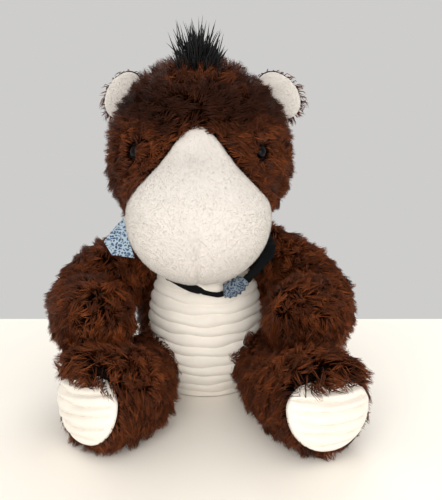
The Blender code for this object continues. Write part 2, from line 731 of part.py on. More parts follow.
class Limb:
    """The form of one arm or leg, pressed back where it would meet a neighbour."""

    def __init__(self, points, radii, flat_end, blocked):
        self.root = np.array(points[0])
        self.root_radius = radii[0]
        self.flat_end = flat_end
        self.blocked = blocked
        self.curve = limb_curve(points, LIMB_ROWS)
        self.frames = limb_frames(self.curve)
        stations = np.linspace(0.0, 1.0, len(radii))
        self.radii = [smooth_table(s, stations, radii) for s in np.linspace(0.0, 1.0, LIMB_ROWS)]
        self.rays = self.collect_rays()
        self.reach = [[self.free_reach(m, d, r) for d in ring] for m, ring, r in self.rays]
        for _ in range(16):
            self.ease_faces()

    def collect_rays(self):
        """A middle point, its ring of directions and its radius, row by row."""
        rows = []
        direction, first, second = self.frames[0]
        for row in range(CAP_ROWS):
            lean = pi / 2 * (1.0 - row / CAP_ROWS)
            rows.append((self.curve[0], self.ring(-direction, first, second, lean), self.radii[0]))
        for middle, (direction, first, second), radius in zip(self.curve, self.frames, self.radii):
            rows.append((middle, self.ring(direction, first, second, 0.0), radius))
        direction, first, second = self.frames[-1]
        if not self.flat_end:
            for row in range(1, CAP_ROWS + 1):
                lean = pi / 2 * row / CAP_ROWS
                rows.append((self.curve[-1], self.ring(direction, first, second, lean),
                             self.radii[-1]))
        return rows

    def ring(self, direction, first, second, lean):
        return [(first * cos(a) + second * sin(a)) * cos(lean) + direction * sin(lean)
                for a in ring_angles(LIMB_STEPS)]

    def free_reach(self, middle, direction, radius):
        """The most that the surface may stand from the limb's middle line."""
        if not self.is_blocked(middle + direction * radius):
            return radius
        low, high = min(self.least_reach(middle), radius), radius
        for _ in range(14):
            half = (low + high) / 2
            if self.is_blocked(middle + direction * half):
                high = half
            else:
                low = half
        return low

    def is_blocked(self, point):
        if np.linalg.norm(point - self.root) <= self.root_radius + GAP:
            return False
        return self.blocked(point)

    def least_reach(self, middle):
        """Inside its socket the limb keeps the ball's radius."""
        from_root = float(np.linalg.norm(middle - self.root))
        return max(sqrt(max(self.root_radius ** 2 - from_root ** 2, 0.0)), self.root_radius / 3)

    def ease_faces(self):
        """Draw in the corners of any face that still meets a neighbour."""
        points = [[m + d * r for d, r in zip(ring, reach)]
                  for (m, ring, _), reach in zip(self.rays, self.reach)]
        for row in range(len(points) - 1):
            for column in range(LIMB_STEPS):
                following = (column + 1) % LIMB_STEPS
                corners = [(row, column), (row, following), (row + 1, following), (row + 1, column)]
                places = [points[r][c] for r, c in corners]
                tests = []
                for a, b in zip(places, places[1:] + places[:1]):
                    tests += [a * 0.75 + b * 0.25, (a + b) / 2, a * 0.25 + b * 0.75]
                tests.append(sum(places) / len(places))
                if not any(self.is_blocked(t) for t in tests):
                    continue
                for r, c in corners:
                    middle = self.rays[r][0]
                    least = self.least_reach(middle)
                    drawn_in = self.reach[r][c] - PRESS_GAP / 2
                    self.reach[r][c] = max(min(least, self.reach[r][c]), drawn_in)

    def rows(self, inset, skip=0):
        made = []
        for (middle, ring, _), reach in list(zip(self.rays, self.reach))[skip:]:
            row = [middle + d * (r - inset) for d, r in zip(ring, reach)]
            made.append([self.on_floor(p, inset) for p in row])
        return made

    def on_floor(self, point, inset):
        return np.array((point[0], point[1], max(point[2], inset)))

    def holds(self, point, margin):
        gaps = np.linalg.norm(self.curve - point, axis=1) - np.array(self.radii)
        return float(gaps.min()) < margin


def leg_points(side_points, side):
    knee, heel, sole = side_points
    root = mirrored(LEG_ROOT, side)
    thigh_level = THIGH_RADIUS - FLOOR_CUT
    foot_level = FOOT_RADIUS - FLOOR_CUT
    return [root, (*knee, thigh_level), (*heel, foot_level), (*sole, foot_level + SOLE_RAISE)]


def build_leg(side, word, side_points):
    points = leg_points(side_points, side)
    root = points[0]

    def blocked(point):
        return any(inside_torso(turn_about_x(point, root, step), PRESS_GAP)
                   for step in np.linspace(0.0, LEG_DROP_DEG, 4))

    radii = (HIP_RADIUS, THIGH_RADIUS, FOOT_RADIUS * 0.985, FOOT_RADIUS)
    limb = Limb(points, radii, True, blocked)
    end, (ahead, _, _) = limb.curve[-1], limb.frames[-1]
    skin_rows = limb.rows(0.0, 1)
    inner_rows = limb.rows(PILE_WALL, 1)
    ring = limb.rays[-1][1]
    for share in FOOT_EDGE_SHARES:
        radius = SOLE_RADIUS + (FOOT_RADIUS - SOLE_RADIUS) * cos(share * pi / 2)
        middle = end + ahead * SOLE_EDGE_LENGTH * share
        skin_rows.append([limb.on_floor(middle + d * radius, 0.0) for d in ring])
        inner = min(radius, FOOT_RADIUS) - PILE_WALL
        inner_rows.append([limb.on_floor(middle + d * inner, PILE_WALL) for d in ring])
    skin = add_object("leg_skin_" + word, make_skin(skin_rows, inner_rows), BROWN)

    filling_rows = limb.rows(PILE_WALL + FILL_GAP)
    rim = end + ahead * SOLE_EDGE_LENGTH
    filling_radius = SOLE_RADIUS - PILE_WALL - 2 * FILL_GAP
    filling_rows.append([limb.on_floor(rim - ahead * GAP + d * filling_radius,
                                       PILE_WALL + FILL_GAP) for d in ring])
    filling = add_object("leg_stuffing_" + word, make_solid(filling_rows), FILLING)
    sole = add_object("sole_pad_" + word, sole_mesh(rim + ahead * GAP, ahead), WHITE)
    return limb, skin, filling, sole


def sole_mesh(centre, ahead):
    """A domed round pad over the open end of the foot; its ribs lie level."""
    up = np.array((0.0, 0.0, 1.0))
    up = up - ahead * float(up @ ahead)
    up /= np.linalg.norm(up)
    side = np.cross(ahead, up)
    places, pitch = rib_places(2 * SOLE_RADIUS)
    outer = []
    inner = []
    for place in places[1:-1]:
        height = place - SOLE_RADIUS
        half = sqrt(SOLE_RADIUS ** 2 - height ** 2)
        outer_row = []
        inner_row = []
        for across in np.linspace(-half, half, 9):
            edge = max(0.0, 1.0 - (across ** 2 + height ** 2) / SOLE_RADIUS ** 2)
            swell = RIB_DEPTH + SOLE_BULGE * sqrt(edge)
            dip = rib_inset(place, pitch) * min(1.0, 4 * edge)
            flat = centre + up * height + side * across
            outer_row.append(flat + ahead * (swell - dip))
            inner_row.append(flat)
        outer.append(outer_row)
        inner.append(inner_row)
    return make_skin(outer, inner, wrap=False)


def build_arm(side, word, points, leg):
    root = mirrored(ARM_ROOT, side)
    points = [root] + list(points)
    line = ribbon_line()

    def blocked(point):
        if leg.holds(point, PRESS_GAP):
            return True
        for step in np.linspace(0.0, ARM_LIFT_DEG, 5):
            turned = turn_about_x(point, root, -step)
            if inside_torso(turned, PRESS_GAP) or inside_head(turned, HEAD_SWEEP):
                return True
            if near_ribbon(turned, line):
                return True
        return False

    radii = (SHOULDER_RADIUS, ARM_RADIUS, PAW_RADIUS * 1.03, PAW_RADIUS)
    limb = Limb(points, radii, False, blocked)
    skin = add_object("arm_skin_" + word,
                      make_skin(limb.rows(0.0, 1), limb.rows(PILE_WALL, 1), end_open=False),
                      BROWN)
    filling = add_object("arm_stuffing_" + word,
                         make_solid(limb.rows(PILE_WALL + FILL_GAP)), FILLING)
    return limb, skin, filling


# Scarf

def ribbon_line():
    """The ribbon's closed middle line, low on the chest and over the shoulders."""
    places = []
    for across, ahead, rise in RIBBON_LINE_SHARES:
        places.append((across * RIBBON_HALF_SPAN, -ahead * RIBBON_REACH,
                       RIBBON_LOW + rise * RIBBON_RISE))
    mirrored = [(-x, y, z) for x, y, z in places[-2:0:-1]]
    loop = np.array(places + mirrored)
    fine = []
    count = len(loop)
    for index in range(count):
        a, b, c, d = (loop[(index + k) % count] for k in (-1, 0, 1, 2))
        for t in np.linspace(0.0, 1.0, 4, endpoint=False):
            fine.append(0.5 * (2 * b + (c - a) * t + (2 * a - 5 * b + 4 * c - d) * t * t
                               + (3 * b - a - 3 * c + d) * t ** 3))
    return np.array(fine)


def near_ribbon(point, line):
    distance = float(np.linalg.norm(line - point, axis=1).min())
    return distance < RIBBON_WIDTH / 2 + 2 * PRESS_GAP


def ribbon_frames():
    """At each point of the ribbon: the point, its outward side and its width's direction."""
    line = ribbon_line()
    chest = np.array((0.0, NECK_PIVOT[1], RIBBON_LOW - RIBBON_LEAN_DROP))
    frames = []
    for index, place in enumerate(line):
        along = line[(index + 1) % len(line)] - line[index - 1]
        along /= np.linalg.norm(along)
        side = LEFT if place[0] > 0.0 else RIGHT
        shoulder = np.array(mirrored(ARM_ROOT, side))
        share = float(np.clip(abs(place[0]) / RIBBON_HALF_SPAN * 2.5 - 1.0, 0.0, 1.0))
        outward = place - (chest * (1.0 - share) + shoulder * share)
        outward -= along * float(outward @ along)
        outward /= np.linalg.norm(outward)
        frames.append((place, outward, np.cross(outward, along)))
    return frames


def build_ribbon():
    builder = bmesh.new()
    rings = []
    for place, outward, across in ribbon_frames():
        half = across * RIBBON_WIDTH / 2
        thick = outward * RIBBON_THICKNESS / 2
        corners = (-half - thick, half - thick, half + thick, thick - half)
        rings.append([builder.verts.new(tuple(place + c)) for c in corners])
    grid_faces(builder, rings + [rings[0]], True)
    return add_object("neck_ribbon", tidy(builder), BLACK, 0.5)


def build_knot():
    """The blue cloth loop on the ribbon, a rounded pad that follows its front."""
    frames = ribbon_frames()
    rows = []
    depth = KNOT_DEPTH
    half_height = KNOT_HALF_HEIGHT
    for index, share in enumerate(KNOT_FRAME_SHARES):
        place, outward, across = frames[(KNOT_FRAME + index) % len(frames)]
        lift = RIBBON_THICKNESS / 2 + GAP
        ring = []
        for angle in ring_angles(TRIM_STEPS):
            high = across * half_height * share * cos(angle)
            deep = outward * (lift + depth * share * (1.0 + sin(angle)) / 2)
            ring.append(place + high + deep)
        rows.append(ring)
    return add_object("bandana_knot", make_solid(rows), BLUE)


def build_bandana():
    """The folded cloth that stands out from the ribbon over the right shoulder."""
    place, outward, _ = ribbon_frames()[BANDANA_FRAME]
    lift = RIBBON_THICKNESS / 2 + BANDANA_THICKNESS / 2 + GAP
    foot = place + outward * lift
    tip = np.array(BANDANA_TIP)
    top = np.array(BANDANA_TOP)
    normal = np.cross(tip - foot, top - foot)
    normal /= np.linalg.norm(normal)
    front = []
    back = []
    for along in np.linspace(0.0, 1.0, 6):
        base = foot + (top - foot) * along
        line = []
        for reach in np.linspace(0.0, 0.96, 5):
            swell = BANDANA_BULGE * sin(pi * reach) * sin(pi * along)
            line.append(base + (tip - base) * reach + normal * swell)
        front.append([p + normal * BANDANA_THICKNESS / 2 for p in line])
        back.append([p - normal * BANDANA_THICKNESS / 2 for p in line])
    return add_object("bandana", make_skin(front, back, wrap=False), BLUE)


def hang(name, pivot, pieces):
    """Put pieces under an empty that stands on the axis they turn about."""
    joint = bpy.data.objects.new(name, None)
    joint.location = tuple(pivot)
    bpy.context.scene.collection.objects.link(joint)
    for piece in pieces:
        piece.parent = joint
        piece.location = tuple(-np.array(pivot))


def mirrored(place, side):
    return (side * place[0], place[1], place[2])


def main():
    clear_scene()
    sockets = []
    for side, word in ((LEFT, "left"), (RIGHT, "right")):
        shoulder = ball(mirrored(ARM_ROOT, side), SHOULDER_RADIUS + TURN_GAP)
        hip = ball(mirrored(LEG_ROOT, side), HIP_RADIUS + TURN_GAP)
        sockets.append(make_cutter("shoulder_socket_" + word, shoulder))
        sockets.append(make_cutter("hip_socket_" + word, hip))
    build_torso(sockets)
    neck = build_neck()
    hang("neck_pivot", NECK_PIVOT, [neck])
    panel, skin, filling = build_head()
    eyes = build_eyes(skin, filling)
    ears = build_ears(skin)
    hang("head_pivot", NECK_PIVOT, [panel, skin, filling, build_mane()] + eyes)
    hang("ear_pivot_left", ear_frame(LEFT)[0], ears[:2])
    hang("ear_pivot_right", ear_frame(RIGHT)[0], ears[2:])
    hang("tail_pivot", TAIL_ROOT, [build_tail()])
    for side, word in ((LEFT, "left"), (RIGHT, "right")):
        leg_places = (LEG_KNEE_LEFT, LEG_HEEL_LEFT, LEG_SOLE_LEFT)
        arm_places = (ARM_ELBOW_LEFT, ARM_WRIST_LEFT, ARM_PAW_LEFT)
        if side == RIGHT:
            leg_places = (LEG_KNEE_RIGHT, LEG_HEEL_RIGHT, LEG_SOLE_RIGHT)
            arm_places = (ARM_ELBOW_RIGHT, ARM_WRIST_RIGHT, ARM_PAW_RIGHT)
        leg = build_leg(side, word, leg_places)
        arm = build_arm(side, word, arm_places, leg[0])
        hang("hip_pivot_" + word, mirrored(LEG_ROOT, side), leg[1:])
        hang("shoulder_pivot_" + word, mirrored(ARM_ROOT, side), arm[1:])
    build_ribbon()
    build_knot()
    build_bandana()


main()
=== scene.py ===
"""Finish of a seated plush horse: shaggy pile, ribbed cloth, yarn mane, neck ribbon and folded bandana."""

import json
from math import cos, pi, radians, sin

import bpy
import numpy as np
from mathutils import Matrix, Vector, noise
from mathutils.bvhtree import BVHTree
from mathutils.kdtree import KDTree
from numpy.linalg import norm

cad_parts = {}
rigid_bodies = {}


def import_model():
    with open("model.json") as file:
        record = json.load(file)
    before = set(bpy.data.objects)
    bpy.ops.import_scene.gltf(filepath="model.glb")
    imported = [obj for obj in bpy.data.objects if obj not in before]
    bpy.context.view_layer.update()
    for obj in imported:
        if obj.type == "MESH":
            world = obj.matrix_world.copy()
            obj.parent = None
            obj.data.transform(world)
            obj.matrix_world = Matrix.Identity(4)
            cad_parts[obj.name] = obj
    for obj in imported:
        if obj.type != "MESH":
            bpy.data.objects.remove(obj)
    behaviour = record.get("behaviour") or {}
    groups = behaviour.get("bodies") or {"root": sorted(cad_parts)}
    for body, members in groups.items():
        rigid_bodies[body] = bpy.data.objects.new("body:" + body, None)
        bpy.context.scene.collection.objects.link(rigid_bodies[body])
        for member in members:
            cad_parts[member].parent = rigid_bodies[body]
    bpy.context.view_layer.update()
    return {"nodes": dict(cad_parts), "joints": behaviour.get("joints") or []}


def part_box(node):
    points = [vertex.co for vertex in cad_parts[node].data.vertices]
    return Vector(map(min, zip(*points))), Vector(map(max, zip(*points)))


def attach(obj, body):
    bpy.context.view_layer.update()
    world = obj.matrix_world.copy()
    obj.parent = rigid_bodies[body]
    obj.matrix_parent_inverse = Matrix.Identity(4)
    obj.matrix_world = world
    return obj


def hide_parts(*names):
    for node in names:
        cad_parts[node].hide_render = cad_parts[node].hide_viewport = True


bl_info = {
    "name": "Plush horse finish",
    "version": (1, 0, 0),
    "blender": (4, 5, 0),
    "location": "3D View > Sidebar > Plush horse",
    "description": "Fur, cloth, yarn and scarf of a seated plush horse",
    "category": "Object",
}

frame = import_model()
JOINTS = {joint["name"]: joint for joint in frame["joints"]}

WELD = 0.00001
PUFF_FRAMES = 20
SIDES = (("left", 1.0), ("right", -1.0))

# Torso, as the solids have it
TORSO_HEIGHT = 0.146
TORSO_HALF_WIDTH = 0.064
TORSO_DEPTH_SHARE = 0.95
TORSO_HEIGHT_SHARES = (0.0, 0.16, 0.42, 0.64, 0.84, 1.0)
TORSO_WIDTH_SHARES = (0.78, 0.95, 1.0, 0.97, 0.82, 0.60)
BELLY_EDGE_DEG = 62.0

# Bandana corners, the tip and the top as the solid has them
BANDANA_TIP = (-0.093, -0.050, 0.160)
BANDANA_TOP = (-0.075, -0.043, 0.180)
BANDANA_LOW = (-0.0845, -0.061, 0.1505)
BANDANA_HEM = (-0.0640, -0.061, 0.1475)


class PlushSettings(bpy.types.PropertyGroup):
    """Sizes and colours of the toy's finish."""

    pile_length: bpy.props.FloatProperty(
        name="Pile length", description="Length of the brown strands on the arms and legs",
        default=0.0155, min=0.004, max=0.03, unit="LENGTH")
    head_pile_length: bpy.props.FloatProperty(
        name="Head pile length", description="Length of the brown strands on the head",
        default=0.0175, min=0.004, max=0.03, unit="LENGTH")
    pile_density: bpy.props.FloatProperty(
        name="Pile density", description="Brown strands on a square millimetre of backing",
        default=0.65, min=0.05, max=2.0)
    pile_width: bpy.props.FloatProperty(
        name="Strand width", description="Width of one lock of brown pile at its root",
        default=0.00106, min=0.0002, max=0.003, unit="LENGTH")
    pile_root: bpy.props.FloatVectorProperty(
        name="Pile root", description="Colour of the brown pile at its roots",
        default=(0.008, 0.002, 0.001), subtype="COLOR")
    pile_tip: bpy.props.FloatVectorProperty(
        name="Pile tip", description="Colour of the brown pile at its tips",
        default=(0.250, 0.068, 0.020), subtype="COLOR")
    short_pile: bpy.props.FloatVectorProperty(
        name="Short pile", description="Colour of the white muzzle and ear linings",
        default=(0.70, 0.667, 0.633), subtype="COLOR")
    short_pile_length: bpy.props.FloatProperty(
        name="Short pile length", description="Length of the white muzzle pile",
        default=0.0011, min=0.0005, max=0.01, unit="LENGTH")
    ribbed_cloth: bpy.props.FloatVectorProperty(
        name="Ribbed cloth", description="Colour of the belly and the soles",
        default=(0.87, 0.825, 0.755), subtype="COLOR")
    rib_pitch: bpy.props.FloatProperty(
        name="Rib pitch", description="Distance from rib to rib",
        default=0.0105, min=0.004, max=0.02, unit="LENGTH")
    rib_depth: bpy.props.FloatProperty(
        name="Rib depth", description="Depth of the groove between two ribs",
        default=0.0030, min=0.0005, max=0.006, unit="LENGTH")
    rib_sag: bpy.props.FloatProperty(
        name="Rib sag", description="How far the belly ribs hang at their middle",
        default=0.0050, min=0.0, max=0.02, unit="LENGTH")
    yarn: bpy.props.FloatVectorProperty(
        name="Yarn", description="Colour of the mane and the tail",
        default=(0.003, 0.003, 0.004), subtype="COLOR")
    mane_strands: bpy.props.IntProperty(
        name="Mane strands", description="Strands of yarn in the mane", default=760, min=50, max=3000)
    ribbon: bpy.props.FloatVectorProperty(
        name="Ribbon", description="Colour of the neck ribbon",
        default=(0.004, 0.004, 0.005), subtype="COLOR")
    ribbon_width: bpy.props.FloatProperty(
        name="Ribbon width", description="Width of the neck ribbon",
        default=0.012, min=0.004, max=0.03, unit="LENGTH")
    bandana: bpy.props.FloatVectorProperty(
        name="Bandana", description="Ground colour of the bandana",
        default=(0.055, 0.13, 0.27), subtype="COLOR")
    bandana_print: bpy.props.FloatVectorProperty(
        name="Bandana print", description="Pale colour printed on the bandana",
        default=(0.46, 0.58, 0.68), subtype="COLOR")


def settings():
    return bpy.context.scene.plush_horse


# Handling of pieces

def pick(*pieces):
    """Select these pieces and nothing else."""
    bpy.ops.object.select_all(action="DESELECT")
    for piece in pieces:
        piece.select_set(True)
    bpy.context.view_layer.objects.active = pieces[0]


def read_points(piece, field):
    flat = np.empty(len(piece.data.vertices) * 3, np.float32)
    piece.data.vertices.foreach_get(field, flat)
    return flat.reshape(-1, 3).astype(float)


def points(piece):
    return read_points(piece, "co")


def normals_of(piece):
    return read_points(piece, "normal")


def set_points(piece, places):
    piece.data.vertices.foreach_set("co", np.asarray(places, np.float32).ravel())
    piece.data.update()


def solid(name):
    return frame["nodes"][name].data


def solid_points(name):
    """Where the corners of a solid lie."""
    return np.array([v.co for v in solid(name).vertices])


def box_middle(name):
    return sum(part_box(name), Vector()) / 2


def joint_place(name):
    return np.array(JOINTS[name]["pos_m"])


def unit(vectors):
    return vectors / np.maximum(norm(vectors, axis=-1, keepdims=True), 1e-9)


def finish_with(piece, kind, **values):
    """Add one modifier, set it and apply it."""
    pick(piece)
    modifier = piece.modifiers.new(kind.title(), kind)
    for key, value in values.items():
        setattr(modifier, key, value)
    bpy.ops.object.modifier_apply(modifier=modifier.name)


def smooth_levels(piece, levels):
    finish_with(piece, "SUBSURF", levels=levels, render_levels=levels)


def weld():
    """Merge the doubles of the picked piece and face it outwards."""
    bpy.ops.object.mode_set(mode="EDIT")
    bpy.ops.mesh.select_all(action="SELECT")
    bpy.ops.mesh.remove_doubles(threshold=WELD)
    bpy.ops.mesh.normals_make_consistent(inside=False)
    bpy.ops.object.mode_set(mode="OBJECT")


def merged_copy(name, *nodes):
    """One welded copy of the solids named, ready to be shaped."""
    made = []
    for node in nodes:
        mesh = solid(node).copy()
        mesh.materials.clear()
        piece = bpy.data.objects.new(name, mesh)
        bpy.context.scene.collection.objects.link(piece)
        made.append(piece)
    pick(*made)
    if len(made) > 1:
        bpy.ops.object.join()
    piece = bpy.context.view_layer.objects.active
    piece.name = name
    bpy.ops.mesh.customdata_custom_splitnormals_clear()
    weld()
    bpy.ops.object.shade_smooth()
    return piece


def keep_largest(piece):
    """Drop the small closed bubbles that a remesh leaves inside."""
    pick(piece)
    bpy.ops.object.mode_set(mode="EDIT")
    bpy.ops.mesh.select_all(action="SELECT")
    bpy.ops.mesh.separate(type="LOOSE")
    bpy.ops.object.mode_set(mode="OBJECT")
    parts = sorted(bpy.context.selected_objects, key=lambda o: -len(o.data.vertices))
    for small in parts[1:]:
        bpy.data.objects.remove(small, do_unlink=True)
    return parts[0]


def puff(piece, pressure, cap):
    """Swell a closed cloth form as its filling does, no point moving past the cap."""
    before = points(piece)
    pick(piece)
    cloth = piece.modifiers.new("Cloth", "CLOTH")
    cloth.settings.use_pressure = True
    cloth.settings.uniform_pressure_force = pressure
    cloth.settings.effector_weights.gravity = 0.0
    cloth.point_cache.frame_start = 1
    cloth.point_cache.frame_end = PUFF_FRAMES
    for step in range(PUFF_FRAMES):
        bpy.context.scene.frame_set(step + 1)
    bpy.ops.object.modifier_apply(modifier="Cloth")
    bpy.context.scene.frame_set(1)
    moved = points(piece) - before
    far = norm(moved, axis=1, keepdims=True)
    moved = moved * np.minimum(1.0, cap / np.maximum(far, 1e-9))
    set_points(piece, before + moved)


def dress(piece, material, slot, body, *nodes):
    """Give a piece its material and body, and let it stand for its solids."""
    piece.data.materials.clear()
    piece.data.materials.append(material)
    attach(piece, body)
    if nodes:
        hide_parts(*nodes)
    return piece


# Materials

LIT, DARK = (1.0, 1.0, 1.0), (0.0, 0.0, 0.0)
CLOTH_SHADE = 0.93
NAVY = (0.012, 0.025, 0.075)


def new_material(name):
    material = bpy.data.materials.new(name)
    material.use_nodes = True
    nodes = material.node_tree.nodes
    return material, nodes, material.node_tree.links, nodes["Principled BSDF"]


def set_inputs(node, **values):
    for key, value in values.items():
        node.inputs[key.replace("_", " ")].default_value = value


def add_node(nodes, kind, **values):
    """Add a node and set its inputs."""
    node = nodes.new(kind)
    set_inputs(node, **values)
    return node


def add_group(nodes, group, **values):
    """Place a node group and set its inputs."""
    node = nodes.new("ShaderNodeGroup")
    node.node_tree = group
    set_inputs(node, **values)
    return node


def wire(links, *steps):
    """Link nodes: each step is a node and its output, then a node and its input."""
    for giver, output, taker, entry in steps:
        links.new(giver.outputs[output], taker.inputs[entry])


def ramp_node(nodes, stops):
    ramp = nodes.new("ShaderNodeValToRGB")
    elements = ramp.color_ramp.elements
    while len(elements) < len(stops):
        elements.new(0.5)
    for element, (place, colour) in zip(elements, stops):
        element.position = place
        element.color = (*colour, 1.0)
    return ramp


def mix_node(nodes, kind="MIX", **colours):
    mix = nodes.new("ShaderNodeMix")
    mix.data_type = "RGBA"
    mix.blend_type = kind
    set_inputs(mix, **{socket: (*colour, 1.0) for socket, colour in colours.items()})
    return mix


def tinted(colour, share):
    """A colour made darker or lighter by one share."""
    return tuple(c * share for c in colour)


def start_group(name, inputs, outputs):
    """An empty node group with named sockets, and its start and end."""
    group = bpy.data.node_groups.new(name, "ShaderNodeTree")
    for way, sockets in (("INPUT", inputs), ("OUTPUT", outputs)):
        for socket, kind in sockets:
            group.interface.new_socket(socket, in_out=way, socket_type=kind)
    return group, group.nodes.new("NodeGroupInput"), group.nodes.new("NodeGroupOutput")


def mottle_group():
    """Slow changes of tone and fine fluff for brushed cloth."""
    name = "Brushed cloth"
    if name in bpy.data.node_groups:
        return bpy.data.node_groups[name]
    group, start, end = start_group(
        name, (("Vector", "NodeSocketVector"), ("Colour", "NodeSocketColor"), ("Shade", "NodeSocketColor"),
               ("Fluff scale", "NodeSocketFloat")),
        (("Colour", "NodeSocketColor"), ("Height", "NodeSocketFloat")))
    nodes = group.nodes
    slow = add_node(nodes, "ShaderNodeTexNoise", Scale=38.0, Detail=3.0, Roughness=0.6)
    fine = add_node(nodes, "ShaderNodeTexNoise", Detail=4.0, Roughness=0.65)
    mix = mix_node(nodes)
    soft = ramp_node(nodes, ((0.38, DARK), (0.72, LIT)))
    wire(group.links, (start, "Vector", slow, "Vector"), (start, "Vector", fine, "Vector"),
         (start, "Fluff scale", fine, "Scale"), (slow, "Fac", soft, "Fac"), (soft, "Color", mix, "Factor"),
         (start, "Colour", mix, "A"), (start, "Shade", mix, "B"), (mix, "Result", end, "Colour"),
         (fine, "Fac", end, "Height"))
    return group


def weave_group():
    """A plain weave of level and upright threads."""
    name = "Plain weave"
    if name in bpy.data.node_groups:
        return bpy.data.node_groups[name]
    group, start, end = start_group(name, (("Vector", "NodeSocketVector"), ("Threads", "NodeSocketFloat")),
                                    (("Height", "NodeSocketFloat"),))
    both = group.nodes.new("ShaderNodeMath")
    both.operation = "MULTIPLY"
    for entry, direction in enumerate(("X", "Y")):
        wave = group.nodes.new("ShaderNodeTexWave")
        wave.bands_direction = direction
        wire(group.links, (start, "Vector", wave, "Vector"), (start, "Threads", wave, "Scale"),
             (wave, "Fac", both, entry))
    wire(group.links, (both, "Value", end, "Height"))
    return group


def brushed(name, colour, shade, scale, bump, sheen):
    """White short pile, ribbed cloth, backing cloth and filling."""
    material, nodes, links, shader = new_material(name)
    place = nodes.new("ShaderNodeTexCoord")
    cloth = add_group(nodes, mottle_group(), Colour=(*colour, 1.0), Shade=(*shade, 1.0), Fluff_scale=scale)
    raised = add_node(nodes, "ShaderNodeBump", Strength=bump, Distance=0.0008)
    wire(links, (place, "Object", cloth, "Vector"), (cloth, "Colour", shader, "Base Color"),
         (cloth, "Height", raised, "Height"), (raised, "Normal", shader, "Normal"))
    set_inputs(shader, Roughness=0.95, Sheen_Weight=sheen, Sheen_Roughness=0.5, Specular_IOR_Level=0.2)
    return material


PILE_TONES = ((0.16, 0.14, 0.13), (0.62, 0.58, 0.56), (1.75, 1.65, 1.50))
PLAIN_TONES = ((0.88, 0.87, 0.86), (0.97, 0.97, 0.97), (1.0, 1.0, 1.0))


def strand_material(name, root, middle, tip, roughness, specular, sheen, tones=PILE_TONES):
    """Colour along each strand from root to tip, and a tone of its own for each."""
    material, nodes, links, shader = new_material(name)
    strand = nodes.new("ShaderNodeUVMap")
    strand.uv_map = "OFBake"
    split = nodes.new("ShaderNodeSeparateXYZ")
    along = ramp_node(nodes, ((0.0, root), (0.45, middle), (1.0, tip)))
    tone = ramp_node(nodes, tuple(zip((0.0, 0.55, 1.0), tones)))
    mix = mix_node(nodes, "MULTIPLY")
    set_inputs(mix, Factor=1.0)
    wire(links, (strand, "UV", split, "Vector"), (split, "Y", along, "Fac"), (split, "X", tone, "Fac"),
         (along, "Color", mix, "A"), (tone, "Color", mix, "B"), (mix, "Result", shader, "Base Color"))
    set_inputs(shader, Roughness=roughness, Specular_IOR_Level=specular, Sheen_Weight=sheen,
               Sheen_Roughness=0.4)
    return material


def gloss_black():
    material, nodes, links, shader = new_material("Polished eye plastic")
    place = nodes.new("ShaderNodeTexCoord")
    specks = add_node(nodes, "ShaderNodeTexNoise", Scale=700.0, Detail=2.0)
    soft = ramp_node(nodes, ((0.4, (0.07, 0.07, 0.07)), (0.8, (0.12, 0.12, 0.12))))
    wire(links, (place, "Object", specks, "Vector"), (specks, "Fac", soft, "Fac"),
         (soft, "Color", shader, "Roughness"))
    set_inputs(shader, Base_Color=(0.001, 0.001, 0.001, 1.0), Specular_IOR_Level=0.14)
    return material


def woven(name, colour, threads, roughness):
    """Ribbon and bag cloth, darker where the weave sinks: painted shade between the threads."""
    material, nodes, links, shader = new_material(name)
    place = nodes.new("ShaderNodeTexCoord")
    weave = add_group(nodes, weave_group(), Threads=threads)
    # Painted shade: the low parts of the weave take the darker colour.
    tone = ramp_node(nodes, ((0.0, tinted(colour, 0.6)), (1.0, colour)))
    raised = add_node(nodes, "ShaderNodeBump", Strength=0.5, Distance=0.0002)
    wire(links, (place, "Object", weave, "Vector"), (weave, "Height", tone, "Fac"),
         (weave, "Height", raised, "Height"), (tone, "Color", shader, "Base Color"),
         (raised, "Normal", shader, "Normal"))
    set_inputs(shader, Roughness=roughness, Specular_IOR_Level=0.2)
    return material


def printed_cotton(name, shade):
    """Blue cotton with a common print of pale scrolls, dots and navy marks; a shade share below 1 darkens
    ground and print alike as painted shade.
    """
    values = settings()
    lines = tinted(values.bandana_print, shade)
    material, nodes, links, shader = new_material(name)
    place = nodes.new("ShaderNodeTexCoord")
    scroll = add_node(nodes, "ShaderNodeTexVoronoi", Scale=250.0, Randomness=0.9)
    scroll.feature = "DISTANCE_TO_EDGE"
    line = ramp_node(nodes, ((0.06, LIT), (0.16, DARK)))
    dots = add_node(nodes, "ShaderNodeTexVoronoi", Scale=390.0, Randomness=0.8)
    navy = ramp_node(nodes, ((0.30, LIT), (0.38, DARK)))
    swirl = add_node(nodes, "ShaderNodeTexWave", Scale=130.0, Distortion=9.0, Detail=1.0, Detail_Scale=1.4)
    swirl.wave_type = "RINGS"
    band = ramp_node(nodes, ((0.72, DARK), (0.82, LIT)))
    pale = mix_node(nodes, A=tinted(values.bandana, shade), B=lines)
    rings = mix_node(nodes, B=lines)
    marks = mix_node(nodes, B=NAVY)
    weave = add_group(nodes, weave_group(), Threads=1500.0)
    raised = add_node(nodes, "ShaderNodeBump", Strength=0.4, Distance=0.0002)
    wire(links, *((place, "Object", texture, "Vector") for texture in (scroll, dots, swirl, weave)),
         (scroll, "Distance", line, "Fac"), (dots, "Distance", navy, "Fac"), (swirl, "Fac", band, "Fac"),
         (line, "Color", pale, "Factor"), (pale, "Result", rings, "A"), (band, "Color", rings, "Factor"),
         (rings, "Result", marks, "A"), (navy, "Color", marks, "Factor"),
         (marks, "Result", shader, "Base Color"), (weave, "Height", raised, "Height"),
         (raised, "Normal", shader, "Normal"))
    set_inputs(shader, Roughness=0.85, Sheen_Weight=0.15)
    return material


# Strands of pile and yarn

FIRST_HELPER = (0.31, 0.87, 0.38)
SECOND_HELPER = (0.9, -0.2, 0.3)
PIECE_STRANDS = 19000
PILE_TAPER = (1.0, 0.82, 0.0)


